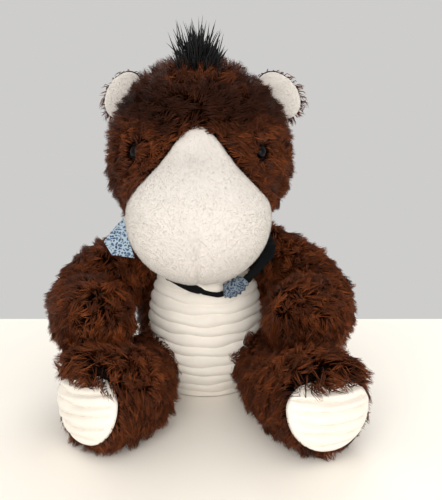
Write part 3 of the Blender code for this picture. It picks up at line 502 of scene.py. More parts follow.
def strand_mesh(name, paths, widths, tone, sides=3):
    """Closed tapering strands through rows of places, one pointed end each."""
    count, rows, _ = paths.shape
    ahead = unit(np.gradient(paths, axis=1))
    helper = np.tile(np.array(FIRST_HELPER), (count, 1))
    level = np.abs((unit(helper) * ahead[:, 0]).sum(1)) > 0.9
    helper[level] = SECOND_HELPER
    verts = []
    for row in range(rows - 1):
        first = unit(np.cross(ahead[:, row], helper))
        second = np.cross(ahead[:, row], first)
        for side in range(sides):
            angle = 2 * pi * side / sides
            reach = (first * cos(angle) + second * sin(angle)) * widths[:, row, None] / 2
            verts.append(paths[:, row] + reach)
    verts.append(paths[:, -1])
    places = np.stack(verts, axis=1)
    each = places.shape[1]
    faces = [tuple(reversed(range(sides)))]
    for row in range(rows - 2):
        for side in range(sides):
            after = (side + 1) % sides
            faces.append((row * sides + side, row * sides + after,
                          (row + 1) * sides + after, (row + 1) * sides + side))
    last = (rows - 2) * sides
    for side in range(sides):
        faces.append((last + side, last + (side + 1) % sides, each - 1))
    loops = np.array([v for f in faces for v in f])
    starts = np.cumsum([0] + [len(f) for f in faces[:-1]])
    all_loops = (loops[None, :] + np.arange(count)[:, None] * each).ravel()
    all_starts = (starts[None, :] + np.arange(count)[:, None] * len(loops)).ravel()
    mesh = bpy.data.meshes.new(name)
    mesh.vertices.add(count * each)
    mesh.vertices.foreach_set("co", places.astype(np.float32).ravel())
    mesh.loops.add(len(all_loops))
    mesh.loops.foreach_set("vertex_index", all_loops.astype(np.int32))
    mesh.polygons.add(len(all_starts))
    mesh.polygons.foreach_set("loop_start", all_starts.astype(np.int32))
    mesh.update(calc_edges=True)
    share = np.minimum(loops // sides, rows - 1) / (rows - 1)
    across = np.repeat(np.clip(tone, 0.02, 0.98), len(loops))
    along = np.tile(0.02 + 0.96 * share, count)
    mesh.uv_layers.new(name="OFBake")
    mesh.uv_layers["OFBake"].uv.foreach_set(
        "vector", np.stack((across, along), axis=1).astype(np.float32).ravel())
    mesh.shade_smooth()
    piece = bpy.data.objects.new(name, mesh)
    bpy.context.scene.collection.objects.link(piece)
    return piece


def scatter(piece, per_mm2, rng):
    """Even random places on a piece, each with its outward direction."""
    mesh = piece.data
    mesh.calc_loop_triangles()
    corners = np.empty(len(mesh.loop_triangles) * 3, np.int32)
    mesh.loop_triangles.foreach_get("vertices", corners)
    corners = corners.reshape(-1, 3)
    places = points(piece)
    outward = normals_of(piece)
    a, b, c = (places[corners[:, k]] for k in range(3))
    area = norm(np.cross(b - a, c - a), axis=1) / 2
    count = int(area.sum() * 1e6 * per_mm2)
    chosen = rng.choice(len(corners), count, p=area / area.sum())
    u, v = rng.random(count), rng.random(count)
    fold = u + v > 1
    u[fold], v[fold] = 1 - u[fold], 1 - v[fold]
    w = 1 - u - v
    ids = corners[chosen]
    shares = np.stack((w, u, v), axis=1)
    roots = (places[ids] * shares[:, :, None]).sum(1)
    return roots, unit((outward[ids] * shares[:, :, None]).sum(1))


def tree_of(*meshes):
    """One search tree over some meshes."""
    places, faces = [], []
    for mesh in meshes:
        start = len(places)
        places += [v.co.copy() for v in mesh.vertices]
        faces += [[start + i for i in p.vertices] for p in mesh.polygons]
    return BVHTree.FromPolygons(places, faces)


def is_inside(tree, place):
    """True where a line each way meets the form's inner side first."""
    for way in (Vector((0.58, 0.31, 0.75)), Vector((-0.52, 0.66, -0.54))):
        _, normal, _, _ = tree.ray_cast(place, way)
        if normal is None or normal.dot(way) <= 0.0:
            return False
    return True


def lay_pile(roots, outward, comb, length, lean, rng, clump=10, gather=0.5):
    """Paths of strands that lean with the comb and gather in small locks."""
    count = len(roots)
    flat = comb - outward * (comb * outward).sum(1, keepdims=True)
    seeds = rng.choice(count, max(1, count // clump), replace=False)
    tree = KDTree(len(seeds))
    for index, seed in enumerate(seeds):
        tree.insert(roots[seed], index)
    tree.balance()
    owner = np.array([tree.find(place)[1] for place in roots])
    lean = np.broadcast_to(lean, count)[:, None]
    lock = unit(outward[seeds] + flat[seeds] * lean[seeds] + rng.normal(0.0, 0.38, (len(seeds), 3)))
    lock_length = length[seeds] * rng.uniform(0.92, 1.15, len(seeds))
    lock_tip = roots[seeds] + lock * lock_length[:, None]
    own = unit(outward + flat * lean + rng.normal(0.0, 0.30, (count, 3)))
    own_length = length * rng.uniform(0.70, 1.12, count)
    share = rng.uniform(gather - 0.3, gather + 0.2, count)[:, None]
    tips = (roots + own * own_length[:, None]) * (1 - share) + lock_tip[owner] * share
    start = unit(outward + flat * lean * 0.4 + rng.normal(0.0, 0.22, (count, 3)))
    middle = roots + start * (length * 0.52)[:, None]
    lock_tone = rng.normal(0.0, 0.16, len(seeds))
    return np.stack((roots, middle, tips), axis=1), lock_tone[owner]


def patches(places, size, seed):
    """Slow changes over the surface, from 0 to 1."""
    shift = Vector((seed * 3.1, seed * 1.7, seed * 0.9))
    return np.array([noise.noise(Vector(p) / size + shift) for p in places]) * 0.5 + 0.5


def pile_pieces(name, paths, tone, material, body):
    """Split a pile into pieces of a moderate size."""
    order = np.argsort(paths[:, 0, 2], kind="stable")
    taper = np.array(PILE_TAPER) * settings().pile_width
    groups = np.array_split(order, max(1, -(-len(order) // PIECE_STRANDS)))
    for index, group in enumerate(groups):
        part = strand_mesh(f"{name}_{index + 1}", paths[group], np.tile(taper, (len(group), 1)), tone[group])
        dress(part, material, "brown_pile", body)


# Stuffed forms, and the solids that they stand for

FORMS = {"torso": ("torso_form", ("body_skin", "belly_panel", "seat_panel", "body_stuffing", "pellet_bag")),
         "head": ("head_form", ("head_skin", "muzzle_panel", "head_stuffing"))}
PILE_NODES = {"torso": ("body_skin", "seat_panel"), "head": ("head_skin",)}
WHITE_NODES = {"torso": ("belly_panel",), "head": ("muzzle_panel",)}
for word, _ in SIDES:
    FORMS["arm_" + word] = ("arm_form_" + word, ("arm_skin_" + word, "arm_stuffing_" + word))
    PILE_NODES["arm_" + word] = ("arm_skin_" + word,)
for word, _ in SIDES:
    FORMS["leg_" + word] = ("leg_form_" + word, ("leg_skin_" + word, "leg_stuffing_" + word,
                                                 "sole_pad_" + word))
    PILE_NODES["leg_" + word] = ("leg_skin_" + word,)
    WHITE_NODES["leg_" + word] = ("sole_pad_" + word,)
BACKING_INSET = 0.0062
EYE_REACH = 0.012
VOXEL = 0.004
PRESSURE = 4.0
SWELL = 0.0018


class PLUSH_OT_forms(bpy.types.Operator):
    """Make the stuffed backing of the head, body, arms, legs and neck"""

    bl_idname = "plush.forms"
    bl_label = "Stuffed forms"

    def execute(self, context):
        root = tuple(settings().pile_root)
        backing = brushed("Pile backing", tinted(root, 1.4), root, 700.0, 0.6, 0.0)
        for body, (name, nodes) in FORMS.items():
            form = merged_copy(name, *nodes)
            finish_with(form, "REMESH", mode="VOXEL", voxel_size=VOXEL)
            form = keep_largest(form)
            form.name = name
            finish_with(form, "SMOOTH", factor=0.5, iterations=6)
            places = points(form)
            inset = np.full(len(places), BACKING_INSET)
            for word, _ in SIDES:
                far = norm(places - np.array(box_middle("eye_" + word)), axis=1)
                inset *= np.clip((far - EYE_REACH) / EYE_REACH, 0.0, 1.0)
            set_points(form, places - normals_of(form) * inset[:, None])
            puff(form, PRESSURE, SWELL)
            finish_with(form, "SMOOTH", factor=0.4, iterations=2)
            smooth_levels(form, 1)
            pick(form)
            bpy.ops.object.shade_smooth()
            apart = (*WHITE_NODES.get(body, ()), "pellet_bag")
            dress(form, backing, "brown_pile", body, *(node for node in nodes if node not in apart))
        neck = merged_copy("neck_form", "neck_fill")
        finish_with(neck, "REMESH", mode="VOXEL", voxel_size=VOXEL)
        set_points(neck, points(neck) - normals_of(neck) * SWELL)
        puff(neck, PRESSURE, SWELL)
        smooth_levels(neck, 1)
        dress(neck, backing, "fibre_filling", "neck", "neck_fill")
        return {"FINISHED"}


# Muzzle and ears

CREASE_TOP = 0.205
CREASE_FADE = 0.02
CREASE_HALF_WIDTH = 0.0026
CREASE_DEPTH = 0.0018
FLUFF_DENSITY = 1.1
FLUFF_WIDTH = 0.00030
EAR_LINING_SPREAD = (1.075, 1.0, 1.055)
EAR_FOLD_X = -0.058
EAR_FOLD_SHARE = 0.87


def narrow_ear(piece, word):
    """The right ear lies a little folded towards the head."""
    if word == "right":
        places = points(piece)
        places[:, 0] = EAR_FOLD_X + (places[:, 0] - EAR_FOLD_X) * EAR_FOLD_SHARE
        set_points(piece, places)


def fluff(name, piece, material, body, seed):
    """The short strands on a white piece, where it faces out."""
    rng = np.random.default_rng(seed)
    roots, outward = scatter(piece, FLUFF_DENSITY, rng)
    facing = outward[:, 1] < 0.3
    if body == "head":
        low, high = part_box("muzzle_panel")
        middle = np.array(((low.x + high.x) / 2, high.y, (low.z + high.z) / 2))
        facing = (outward * (roots - middle)).sum(1) > 0
    roots, outward = roots[facing], outward[facing]
    length = np.full(len(roots), settings().short_pile_length)
    comb = np.tile(np.array((0.0, -0.2, -1.0)), (len(roots), 1))
    paths, tone = lay_pile(roots, outward, comb, length, 0.6, rng, clump=6, gather=0.3)
    paths = paths[:, (0, 2)]
    widths = np.tile(np.array((FLUFF_WIDTH, 0.0)), (len(paths), 1))
    dress(strand_mesh(name, paths, widths, 0.55 + tone), material, "white_short_pile", body)


class PLUSH_OT_muzzle(bpy.types.Operator):
    """Make the short-pile muzzle and the ear linings"""

    bl_idname = "plush.muzzle"
    bl_label = "Muzzle and ear linings"

    def execute(self, context):
        white = tuple(settings().short_pile)
        cloth = brushed("White short pile", white, tinted(white, CLOTH_SHADE), 1100.0, 0.35, 0.2)
        strands = strand_material("White short strands", tinted(white, 0.94), white, white,
                                  0.9, 0.1, 0.1, PLAIN_TONES)
        muzzle = merged_copy("muzzle", "muzzle_panel")
        smooth_levels(muzzle, 2)
        places = points(muzzle)
        across = places[:, 0] - box_middle("muzzle_panel").x
        low = np.clip((CREASE_TOP - places[:, 2]) / CREASE_FADE, 0.0, 1.0)
        crease = np.exp(-(across / CREASE_HALF_WIDTH) ** 2) * CREASE_DEPTH * low
        set_points(muzzle, places - normals_of(muzzle) * crease[:, None])
        dress(muzzle, cloth, "white_short_pile", "head", "muzzle_panel")
        fluff("muzzle_pile", muzzle, strands, "head", 41)
        for word, _ in SIDES:
            lining = merged_copy("ear_cloth_" + word, "ear_lining_" + word)
            smooth_levels(lining, 2)
            low, high = (np.array(corner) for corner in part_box("ear_lining_" + word))
            middle = (low + high) / 2
            set_points(lining, middle + (points(lining) - middle) * EAR_LINING_SPREAD)
            narrow_ear(lining, word)
            dress(lining, cloth, "white_short_pile", "ear_" + word, "ear_lining_" + word)
            fluff("ear_pile_" + word, lining, strands, "ear_" + word, 43)
        return {"FINISHED"}


# Belly and soles

CREST = 0.0010
CLOTH_WALL = 0.0022
BELLY_START = 0.0006
BELLY_SHORT = 0.004
BELLY_OVERLAP = 1.01
SOLE_SPREAD = 1.02
SOLE_TOP = 0.64
SOLE_TURN_DEG = {"left": -6.0, "right": 12.0}
SOLE_SWELL = 0.0135
SOLE_SET_IN = 0.0040
SOLE_GROOVE_SHARE = 1.8
SOLE_PITCH_SHARE = 0.92
SOLE_SAG_SHARE = 0.9


def table_value(where, places, values):
    """The same smooth width table as the solids."""
    places = np.asarray(places)
    values = np.asarray(values)
    slopes = np.gradient(values, places)
    index = np.clip(np.searchsorted(places, where) - 1, 0, len(places) - 2)
    span = places[index + 1] - places[index]
    t = np.clip((where - places[index]) / span, 0.0, 1.0)
    rise = values[index + 1] - values[index]
    a = slopes[index] * span - rise
    b = rise - slopes[index + 1] * span
    return values[index] + rise * t + t * (1 - t) * (a * (1 - t) + b * t)


def grid_piece(name, across, up, place):
    """A sheet of quads whose places come from a function of its two shares."""
    bpy.ops.object.select_all(action="DESELECT")
    bpy.ops.mesh.primitive_grid_add(x_subdivisions=across, y_subdivisions=up, size=1.0)
    piece = bpy.context.view_layer.objects.active
    piece.name = name
    flat = points(piece)
    set_points(piece, place(flat[:, 0] + 0.5, flat[:, 1] + 0.5))
    return piece


def rib_height(distance, pitch):
    """Full round ribs with narrow grooves, 0 in a groove and 1 on a crest."""
    return np.abs(np.sin(pi * distance / pitch)) ** 0.48


def sole_axes(word):
    """The middle, the axes and the radius of a sole as it is sewn."""
    places = np.unique(np.round(solid_points("sole_pad_" + word), 6), axis=0)
    middle = places.mean(0)
    ahead = np.linalg.svd(places - middle, full_matrices=False)[2][2]
    ahead = ahead * np.sign(ahead @ (middle - joint_place("leg_drop_" + word)))
    depth = (places - middle) @ ahead
    flat = places[depth < depth.min() + 0.0005]
    centre = flat.mean(0)
    radius = norm(flat - centre, axis=1).max()
    up = np.array((0.0, 0.0, 1.0)) - ahead * ahead[2]
    up = up / norm(up)
    turn = radians(SOLE_TURN_DEG[word])
    up = up * cos(turn) + np.cross(ahead, up) * sin(turn)
    return centre, ahead, up, np.cross(ahead, up), radius * SOLE_SPREAD


def sole_share(word, places):
    """How far places lie from a sole's middle, 1 at its rim, and how far before it."""
    centre, ahead, up, beside, wide = sole_axes(word)
    away = places - centre
    height = away @ up
    height = np.where(height > 0.0, height / SOLE_TOP, height)
    return np.hypot(height, away @ beside) / wide, away @ ahead


def close_sheet(piece, inside):
    """Face the sheet outwards and give it its thickness."""
    pick(piece)
    weld()
    outward = points(piece) - np.array(inside)
    if (normals_of(piece) * outward).sum() < 0:
        bpy.ops.object.mode_set(mode="EDIT")
        bpy.ops.mesh.flip_normals()
        bpy.ops.object.mode_set(mode="OBJECT")
    finish_with(piece, "SOLIDIFY", thickness=CLOTH_WALL, offset=-1.0)
    bpy.ops.object.shade_smooth()


class PLUSH_OT_ribbed(bpy.types.Operator):
    """Make the ribbed belly and the ribbed soles"""

    bl_idname = "plush.ribbed"
    bl_label = "Ribbed cloth"

    def execute(self, context):
        values = settings()
        colour = tuple(values.ribbed_cloth)
        cloth = brushed("Ribbed white cloth", colour, tinted(colour, CLOTH_SHADE), 900.0, 0.35, 0.15)
        pitch, depth = values.rib_pitch, values.rib_depth

        def belly_place(u, v):
            c = 2 * u - 1
            height = BELLY_START + v * (TORSO_HEIGHT - BELLY_SHORT)
            edge = BELLY_EDGE_DEG * (1.0 - (2.0 * height / TORSO_HEIGHT - 1.0) ** 4 / 6.0)
            angle = np.radians(edge) * c * BELLY_OVERLAP
            half = TORSO_HALF_WIDTH * table_value(height / TORSO_HEIGHT, TORSO_HEIGHT_SHARES,
                                                  TORSO_WIDTH_SHARES)
            wobble = 0.0008 * np.sin(9.0 * u + 40.0 * v) + 0.0006 * np.sin(23.0 * u + 17.0 * v)
            phase = height + values.rib_sag * np.cos(pi * c / 2) + wobble
            lift = CREST - depth * (1.0 - rib_height(phase, pitch)) - 0.002 * np.abs(c) ** 8
            return np.stack(((half + lift) * np.sin(angle),
                             -(half * TORSO_DEPTH_SHARE + lift) * np.cos(angle), height), axis=1)

        belly = grid_piece("belly_cloth", 72, 210, belly_place)
        close_sheet(belly, (0.0, 0.0, TORSO_HEIGHT / 2))
        dress(belly, cloth, "white_ribbed_cloth", "torso", "belly_panel")
        for word, side in SIDES:
            centre, ahead, up, beside, wide = sole_axes(word)

            def sole_place(u, v):
                share = np.clip(2 * v - 1, -0.999, 0.999)
                height = share * np.where(share > 0.0, wide * SOLE_TOP, wide)
                across = wide * np.sqrt(1.0 - share ** 2) * (2 * u - 1)
                rim = np.clip(1.0 - (across / wide) ** 2 - share ** 2, 0.0, 1.0)
                sag = values.rib_sag * SOLE_SAG_SHARE * np.cos(pi * across / wide / 2)
                phase = height + wide / SOLE_SPREAD + 0.0009 * np.sin(5.0 * u + 30.0 * v + side) + sag
                groove = depth * SOLE_GROOVE_SHARE * (1.0 - rib_height(phase, pitch * SOLE_PITCH_SHARE))
                swell = SOLE_SWELL * rim ** 0.52 - SOLE_SET_IN - groove * np.minimum(1.0, 3 * rim)
                return centre + np.outer(height, up) + np.outer(across, beside) + np.outer(swell, ahead)

            sole = grid_piece("sole_cloth_" + word, 60, 120, sole_place)
            close_sheet(sole, centre - ahead)
            dress(sole, cloth, "white_ribbed_cloth", "leg_" + word, "sole_pad_" + word)
        return {"FINISHED"}


class PLUSH_OT_eyes(bpy.types.Operator):
    """Make the domed eyes, and finish the hidden washers and the bead bag"""

    bl_idname = "plush.eyes"
    bl_label = "Eyes"

    def execute(self, context):
        gloss = gloss_black()
        for word, _ in SIDES:
            eye = merged_copy("eye_dome_" + word, "eye_" + word)
            smooth_levels(eye, 2)
            dress(eye, gloss, "eye_plastic", "head", "eye_" + word)
        washer = brushed("Moulded washer", (0.75, 0.75, 0.73), (0.70, 0.70, 0.68), 400.0, 0.1, 0.0)
        hidden = {"eye_washer_left": washer, "eye_washer_right": washer,
                  "pellet_bag": woven("Bead bag cloth", (0.70, 0.72, 0.70), 900.0, 0.8)}
        for name, material in hidden.items():
            materials = solid(name).materials
            materials.clear()
            materials.append(material)
        return {"FINISHED"}


# Brown pile

LOCK_STRANDS = 26
LOCK_GATHER = 0.72
EYE_CLEARANCE = 0.0080
SEAT_BARE = 0.006
LOWEST_PILE = 0.0012
BROW_DROP = 0.017
FRINGE_RAISE = 0.0040
HEAD_COMB_MIDDLE = (-0.005, -0.075, 0.200)
# Height of the band of painted shade across the brow
BROW_SHADE_Z = 0.280
LENGTH_PATCH = 0.022
TONE_PATCH = 0.018
SWIRL_PATCH = 0.035
SWIRL = 1.8
HEAD_LEAN, BODY_LEAN = 0.85, 0.95
EYE_SHARE, EYE_START, EYE_FADE = 0.42, 0.009, 0.026
EDGE_SHARE, EDGE_FADE = 0.60, 0.016
FRINGE_SHARE = 1.15
SOLE_BESIDE = 1.03
TIP_REACH, BEND_REACH = 0.97, 1.01


def comb_of(body, places):
    """The way in which the pile of each body part is brushed."""
    down = np.tile(np.array((0.0, 0.0, -1.0)), (len(places), 1))
    if body == "head":
        return unit(unit(places - np.array(HEAD_COMB_MIDDLE)) * 0.6 + down * 0.7)
    if body == "torso":
        return down
    hinge = joint_place(("arm_lift_" if body.startswith("arm") else "leg_drop_") + body.split("_")[1])
    away = unit(places - hinge)
    away[:, 2] = np.minimum(away[:, 2], 0.0)
    return unit(away * 0.4 + down * 0.9 + np.sign(hinge[0]) * np.array((1.0, 0.0, 0.0)) * 0.25)


def clear_of_sole(word, places, brow, reach):
    """Which places of the strands stay off the sole below the fringe."""
    share, depth = sole_share(word, places)
    return (share > reach) | (depth < -0.006) | (places[:, 2] > brow - 0.004)


def is_free(place, outward, brown, white, others, eyes, brow):
    """A strand grows on a brown panel, clear of the eyes, the floor and other body parts."""
    if place.z < SEAT_BARE and outward.z < -0.5:
        return False
    if place.z < brow and white and white.find_nearest(place)[3] < brown.find_nearest(place)[3]:
        return False
    if any((place - eye).length < EYE_CLEARANCE for eye in eyes):
        return False
    return not any(is_inside(tree, place) for tree in others)


def grow_pile(body, number, material, trees, eyes):
    """The shaggy pile of one body part."""
    values = settings()
    rng = np.random.default_rng(100 + number)
    roots, outward = scatter(bpy.data.objects[FORMS[body][0]], values.pile_density, rng)
    brown = tree_of(*map(solid, PILE_NODES[body]))
    white = tree_of(*map(solid, WHITE_NODES[body])) if body in WHITE_NODES else None
    others = [tree for other, tree in trees.items() if other != body]
    head, leg, word = body == "head", body.startswith("leg"), body.split("_")[-1]
    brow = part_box("sole_pad_" + word)[1].z - BROW_DROP if leg else 1.0
    bare_below = np.full(len(roots), brow)
    if leg:
        bare_below[sole_share(word, roots)[0] > SOLE_BESIDE] = -1.0
    keep = [is_free(Vector(r), Vector(n), brown, white, others, eyes, below)
            for r, n, below in zip(roots, outward, bare_below)]
    roots, outward = roots[keep], outward[keep]

    length = np.full(len(roots), values.head_pile_length if head else values.pile_length)
    length *= 0.82 + 0.36 * patches(roots, LENGTH_PATCH, number + 1.0)
    if not head and body != "torso":
        length *= 1.0 + 0.35 * np.clip(-outward[:, 2], 0.0, 1.0)
    for eye in eyes:
        far = norm(roots - np.array(eye), axis=1)
        length *= np.clip(EYE_SHARE + (far - EYE_START) / EYE_FADE, EYE_SHARE, 1.0)
    above = np.zeros(len(roots))
    if leg:
        above = np.clip((roots[:, 2] - brow + 0.008) / 0.010, 0.0, 1.0)
    if white:
        edge = np.array([white.find_nearest(Vector(r))[3] for r in roots])
        bare = np.clip(EDGE_SHARE + edge / EDGE_FADE, EDGE_SHARE, 1.0)
        length *= bare + (FRINGE_SHARE - bare) * above
    roots = roots + outward * (above * FRINGE_RAISE)[:, None]

    swirl = np.stack([patches(roots, SWIRL_PATCH, k + number * 5.0) for k in (11, 12, 13)], axis=1) - 0.5
    comb = unit(comb_of(body, roots) + swirl * SWIRL)
    if leg:
        back = unit(joint_place("leg_drop_" + word) - np.array(box_middle("sole_pad_" + word)))
        share = (np.clip(1.6 - edge / 0.012, 0.0, 1.0) * (1.0 - above) * 0.5)[:, None]
        comb = unit(comb - back * (above * 0.9)[:, None])
        comb = unit(comb * (1.0 - share) + back * share)
    lean = np.full(len(roots), HEAD_LEAN if head else BODY_LEAN)
    if head:
        crown = np.clip(outward[:, 2] * 1.6 - 0.4, 0.0, 1.0)
        lean *= 1.0 - 0.65 * crown
        length *= 1.0 + 0.22 * crown

    paths, lock_tone = lay_pile(roots, outward, comb, length, lean, rng, LOCK_STRANDS, LOCK_GATHER)
    paths[:, 1:, 2] = np.maximum(paths[:, 1:, 2], LOWEST_PILE)
    if leg:
        clear = clear_of_sole(word, paths[:, 2], brow, TIP_REACH)
        clear &= clear_of_sole(word, paths[:, 1], brow, BEND_REACH)
        paths, lock_tone, roots = paths[clear], lock_tone[clear], roots[clear]
    tone = 0.28 + 0.42 * patches(roots, TONE_PATCH, number + 31.0) + lock_tone * 0.7
    tone += rng.normal(0.0, 0.18, len(roots))
    if head:
        # Painted shade: the pile is darker over the top of the head, and darker still in a band across the
        # brow under the crown.
        tone -= 0.20 * np.clip((roots[:, 2] - 0.262) / 0.02, 0.0, 1.0)
        band = np.clip(1.3 - np.abs(roots[:, 2] - BROW_SHADE_Z) / 0.016, 0.0, 1.0)
        tone -= 0.45 * band * np.clip(-roots[:, 1] / 0.03, 0.0, 1.0)
    pile_pieces("pile_" + body, paths, tone, material, body)


def grow_ear(word, side, material):
    """The backing and the pile of one ear."""
    back = merged_copy("ear_form_" + word, "ear_back_" + word)
    smooth_levels(back, 2)
    narrow_ear(back, word)
    dress(back, bpy.data.materials["Pile backing"], "brown_pile", "ear_" + word, "ear_back_" + word)
    left = word == "left"
    rng = np.random.default_rng(201 if left else 202)
    roots, outward = scatter(back, settings().pile_density, rng)
    middle = joint_place("ear_flop_" + word)
    outer = (roots[:, 0] - middle[0]) * side / 0.03 - (roots[:, 2] - middle[2]) / 0.05
    keep = outward[:, 1] > 0.75
    if left:
        keep |= (outward[:, 1] > 0.05) & (outer > 0.1)
    keep |= rng.random(len(roots)) < 0.02
    keep &= outward[:, 1] > -0.3
    roots, outward = roots[keep], outward[keep]
    comb = unit(roots - middle + np.array((0.0, 0.0, -0.03)))
    length = 0.006 + 0.006 * np.clip(outer[keep], 0.0, 1.0)
    paths, lock_tone = lay_pile(roots, outward, comb, length, 0.9, rng)
    tone = 0.75 + lock_tone + rng.normal(0.0, 0.12, len(roots))
    pile_pieces("pile_ear_" + word, paths, tone, material, "ear_" + word)


def grow_neck(material):
    rng = np.random.default_rng(203)
    roots, outward = scatter(bpy.data.objects["neck_form"], settings().pile_density, rng)
    keep = np.abs(outward[:, 2]) < 0.6
    roots, outward = roots[keep], outward[keep]
    length = np.full(len(roots), settings().head_pile_length)
    comb = np.tile(np.array((0.0, 0.0, -1.0)), (len(roots), 1))
    paths, lock_tone = lay_pile(roots, outward, comb, length, 0.3, rng)
    pile_pieces("pile_neck", paths, 0.4 + lock_tone, material, "neck")


class PLUSH_OT_pile(bpy.types.Operator):
    """Grow the shaggy brown pile on every brown panel"""

    bl_idname = "plush.pile"
    bl_label = "Brown pile"

    def execute(self, context):
        root, tip = np.array(settings().pile_root), np.array(settings().pile_tip)
        material = strand_material("Brown pile", tuple(root), tuple(root * 0.55 + tip * 0.45), tuple(tip),
                                   0.38, 0.15, 0.0)
        trees = {body: tree_of(bpy.data.objects[name].data) for body, (name, _) in FORMS.items()}
        eyes = [box_middle("eye_" + word) for word, _ in SIDES]
        for number, body in enumerate(FORMS):
            grow_pile(body, number, material, trees, eyes)
        for word, side in SIDES:
            grow_ear(word, side, material)
        grow_neck(material)
        return {"FINISHED"}


# Mane and tail

MANE_START_DEG = 84.0
MANE_TURN_DEG = 104.0
MANE_SPREAD = 0.0075
MANE_HALF_WIDTH = 0.0135
MANE_TAPER = (1.0, 1.0, 1.0, 0.95, 0.85, 0.6, 0.0)
MANE_STRAND = 0.0013
TAIL_STRANDS = 220
TAIL_STRAND = 0.0014
TAIL_TAPER = (1.0, 1.0, 1.0, 1.0, 0.9, 0.7, 0.0)
TAIL_ROWS = ((0.0, -0.004), (0.010, -0.002), (0.022, -0.008), (0.034, -0.016), (0.045, -0.022),
             (0.055, -0.025), (0.063, -0.0265))
TAIL_RADII = (0.003, 0.006, 0.0085, 0.0095, 0.0090, 0.0070, 0.0050)
TAIL_LOWEST = 0.0015


class PLUSH_OT_yarn(bpy.types.Operator):
    """Make the yarn mane and tail"""

    bl_idname = "plush.yarn"
    bl_label = "Mane and tail"

    def execute(self, context):
        yarn = tuple(settings().yarn)
        material = strand_material("Black yarn", yarn, yarn, tinted(yarn, 1.6), 0.5, 0.25, 0.0)
        rng = np.random.default_rng(77)
        head = tree_of(bpy.data.objects["head_form"].data)
        count = settings().mane_strands
        share = rng.random(count) ** 1.5
        angle = np.radians(MANE_START_DEG + MANE_TURN_DEG * share)
        across = rng.normal(0.0, MANE_SPREAD, count).clip(-MANE_HALF_WIDTH, MANE_HALF_WIDTH)
        centre = np.array((box_middle("mane").x, -0.030, 0.215))
        tall = np.interp(share, (0.0, 0.12, 0.30, 1.0), (0.040, 0.047, 0.030, 0.019))
        tall = tall * rng.uniform(0.50, 1.10, count)
        tall = tall * np.interp(across, (-MANE_HALF_WIDTH, -0.004, 0.002, MANE_HALF_WIDTH),
                                (0.72, 1.04, 1.0, 0.55))
        t = np.linspace(0.0, 1.0, len(MANE_TAPER))[:, None]
        paths = []
        for x, turn, reach in zip(across, angle, tall):
            ray = unit(np.array((x / 0.09, -cos(turn), sin(turn))))
            root = np.array(head.ray_cast(Vector(centre + ray * 0.3), Vector(-ray))[0])
            fan = np.array((x * 13.0 + rng.normal(0.0, 0.14), rng.normal(0.05, 0.2), 0.0))
            rise = unit(ray * 0.6 + np.array((0.0, 0.0, 0.7)) + fan)
            bend = rng.normal(0.0, 0.30, 3) + np.array((x * 18.0, 0.1, -0.15))
            paths.append(root + rise * (reach + 0.006) * t + bend * reach * 0.42 * t * t)
        widths = np.tile(np.array(MANE_TAPER) * MANE_STRAND, (count, 1))
        mane = strand_mesh("mane_yarn", np.array(paths), widths, rng.uniform(0.3, 0.9, count), sides=4)
        dress(mane, material, "black_yarn", "head", "mane")

        root = joint_place("tail_lift")
        back, low = np.array(TAIL_ROWS).T
        paths = []
        for _ in range(TAIL_STRANDS):
            turn = rng.uniform(0.0, 2 * pi)
            ring = np.array(TAIL_RADII) * np.sqrt(rng.random())
            reach = rng.uniform(0.85, 1.0)
            height = np.maximum(root[2] + low + ring * sin(turn), TAIL_LOWEST)
            paths.append(np.stack((root[0] + ring * cos(turn) * 1.1, root[1] + back * reach, height), axis=1))
        widths = np.tile(np.array(TAIL_TAPER) * TAIL_STRAND, (TAIL_STRANDS, 1))
        tail = strand_mesh("tail_yarn", np.array(paths), widths, rng.uniform(0.3, 0.9, TAIL_STRANDS), sides=4)
        dress(tail, material, "black_yarn", "tail", "tail")
        return {"FINISHED"}


# Scarf

RIBBON_PARTS = 40
RIBBON_GATHER = 0.72
BANDANA_WALL = 0.0007
KNOT_FOLD = 0.0010
KNOT_SHARES = (0.80, 0.90, 0.84)
KNOT_SHIFT = (-0.0030, 0.0, -0.0010)
# Share by which the knot's cotton is darkened: painted shade, as the knot lies in shade.
KNOT_PAINTED_SHADE = 0.45


def ribbon_rows():
    """The ribbon's middle places round the neck, in order of their turn."""
    places = solid_points("neck_ribbon")
    turn = np.arctan2(places[:, 1], places[:, 0])
    order = np.linspace(-pi, pi, RIBBON_PARTS + 1)
    parts = [places[(turn >= a) & (turn < b)] for a, b in zip(order, order[1:])]
    return np.array([part.mean(0) for part in parts if len(part)])


def gather_front(ribbon, rows):
    """Draw the ribbon together where it crosses the chest."""
    places = points(ribbon)
    fine = np.concatenate([rows + (np.roll(rows, -1, axis=0) - rows) * t for t in (0.0, 0.25, 0.5, 0.75)])
    away = places - fine[norm(places[:, None] - fine[None], axis=2).argmin(1)]
    away[:, :2] = 0.0
    share = np.clip((0.085 - np.abs(places[:, 0])) / 0.015, 0.0, 1.0)
    share = share * np.clip((0.004 - places[:, 1]) / 0.012, 0.0, 1.0)
    places = places - away * share[:, None] * RIBBON_GATHER
    places[:, 2] += share * np.interp(places[:, 0], (-0.05, -0.03, 0.012, 0.05), (0.008, 0.007, -0.002, 0.0))
    set_points(ribbon, places)


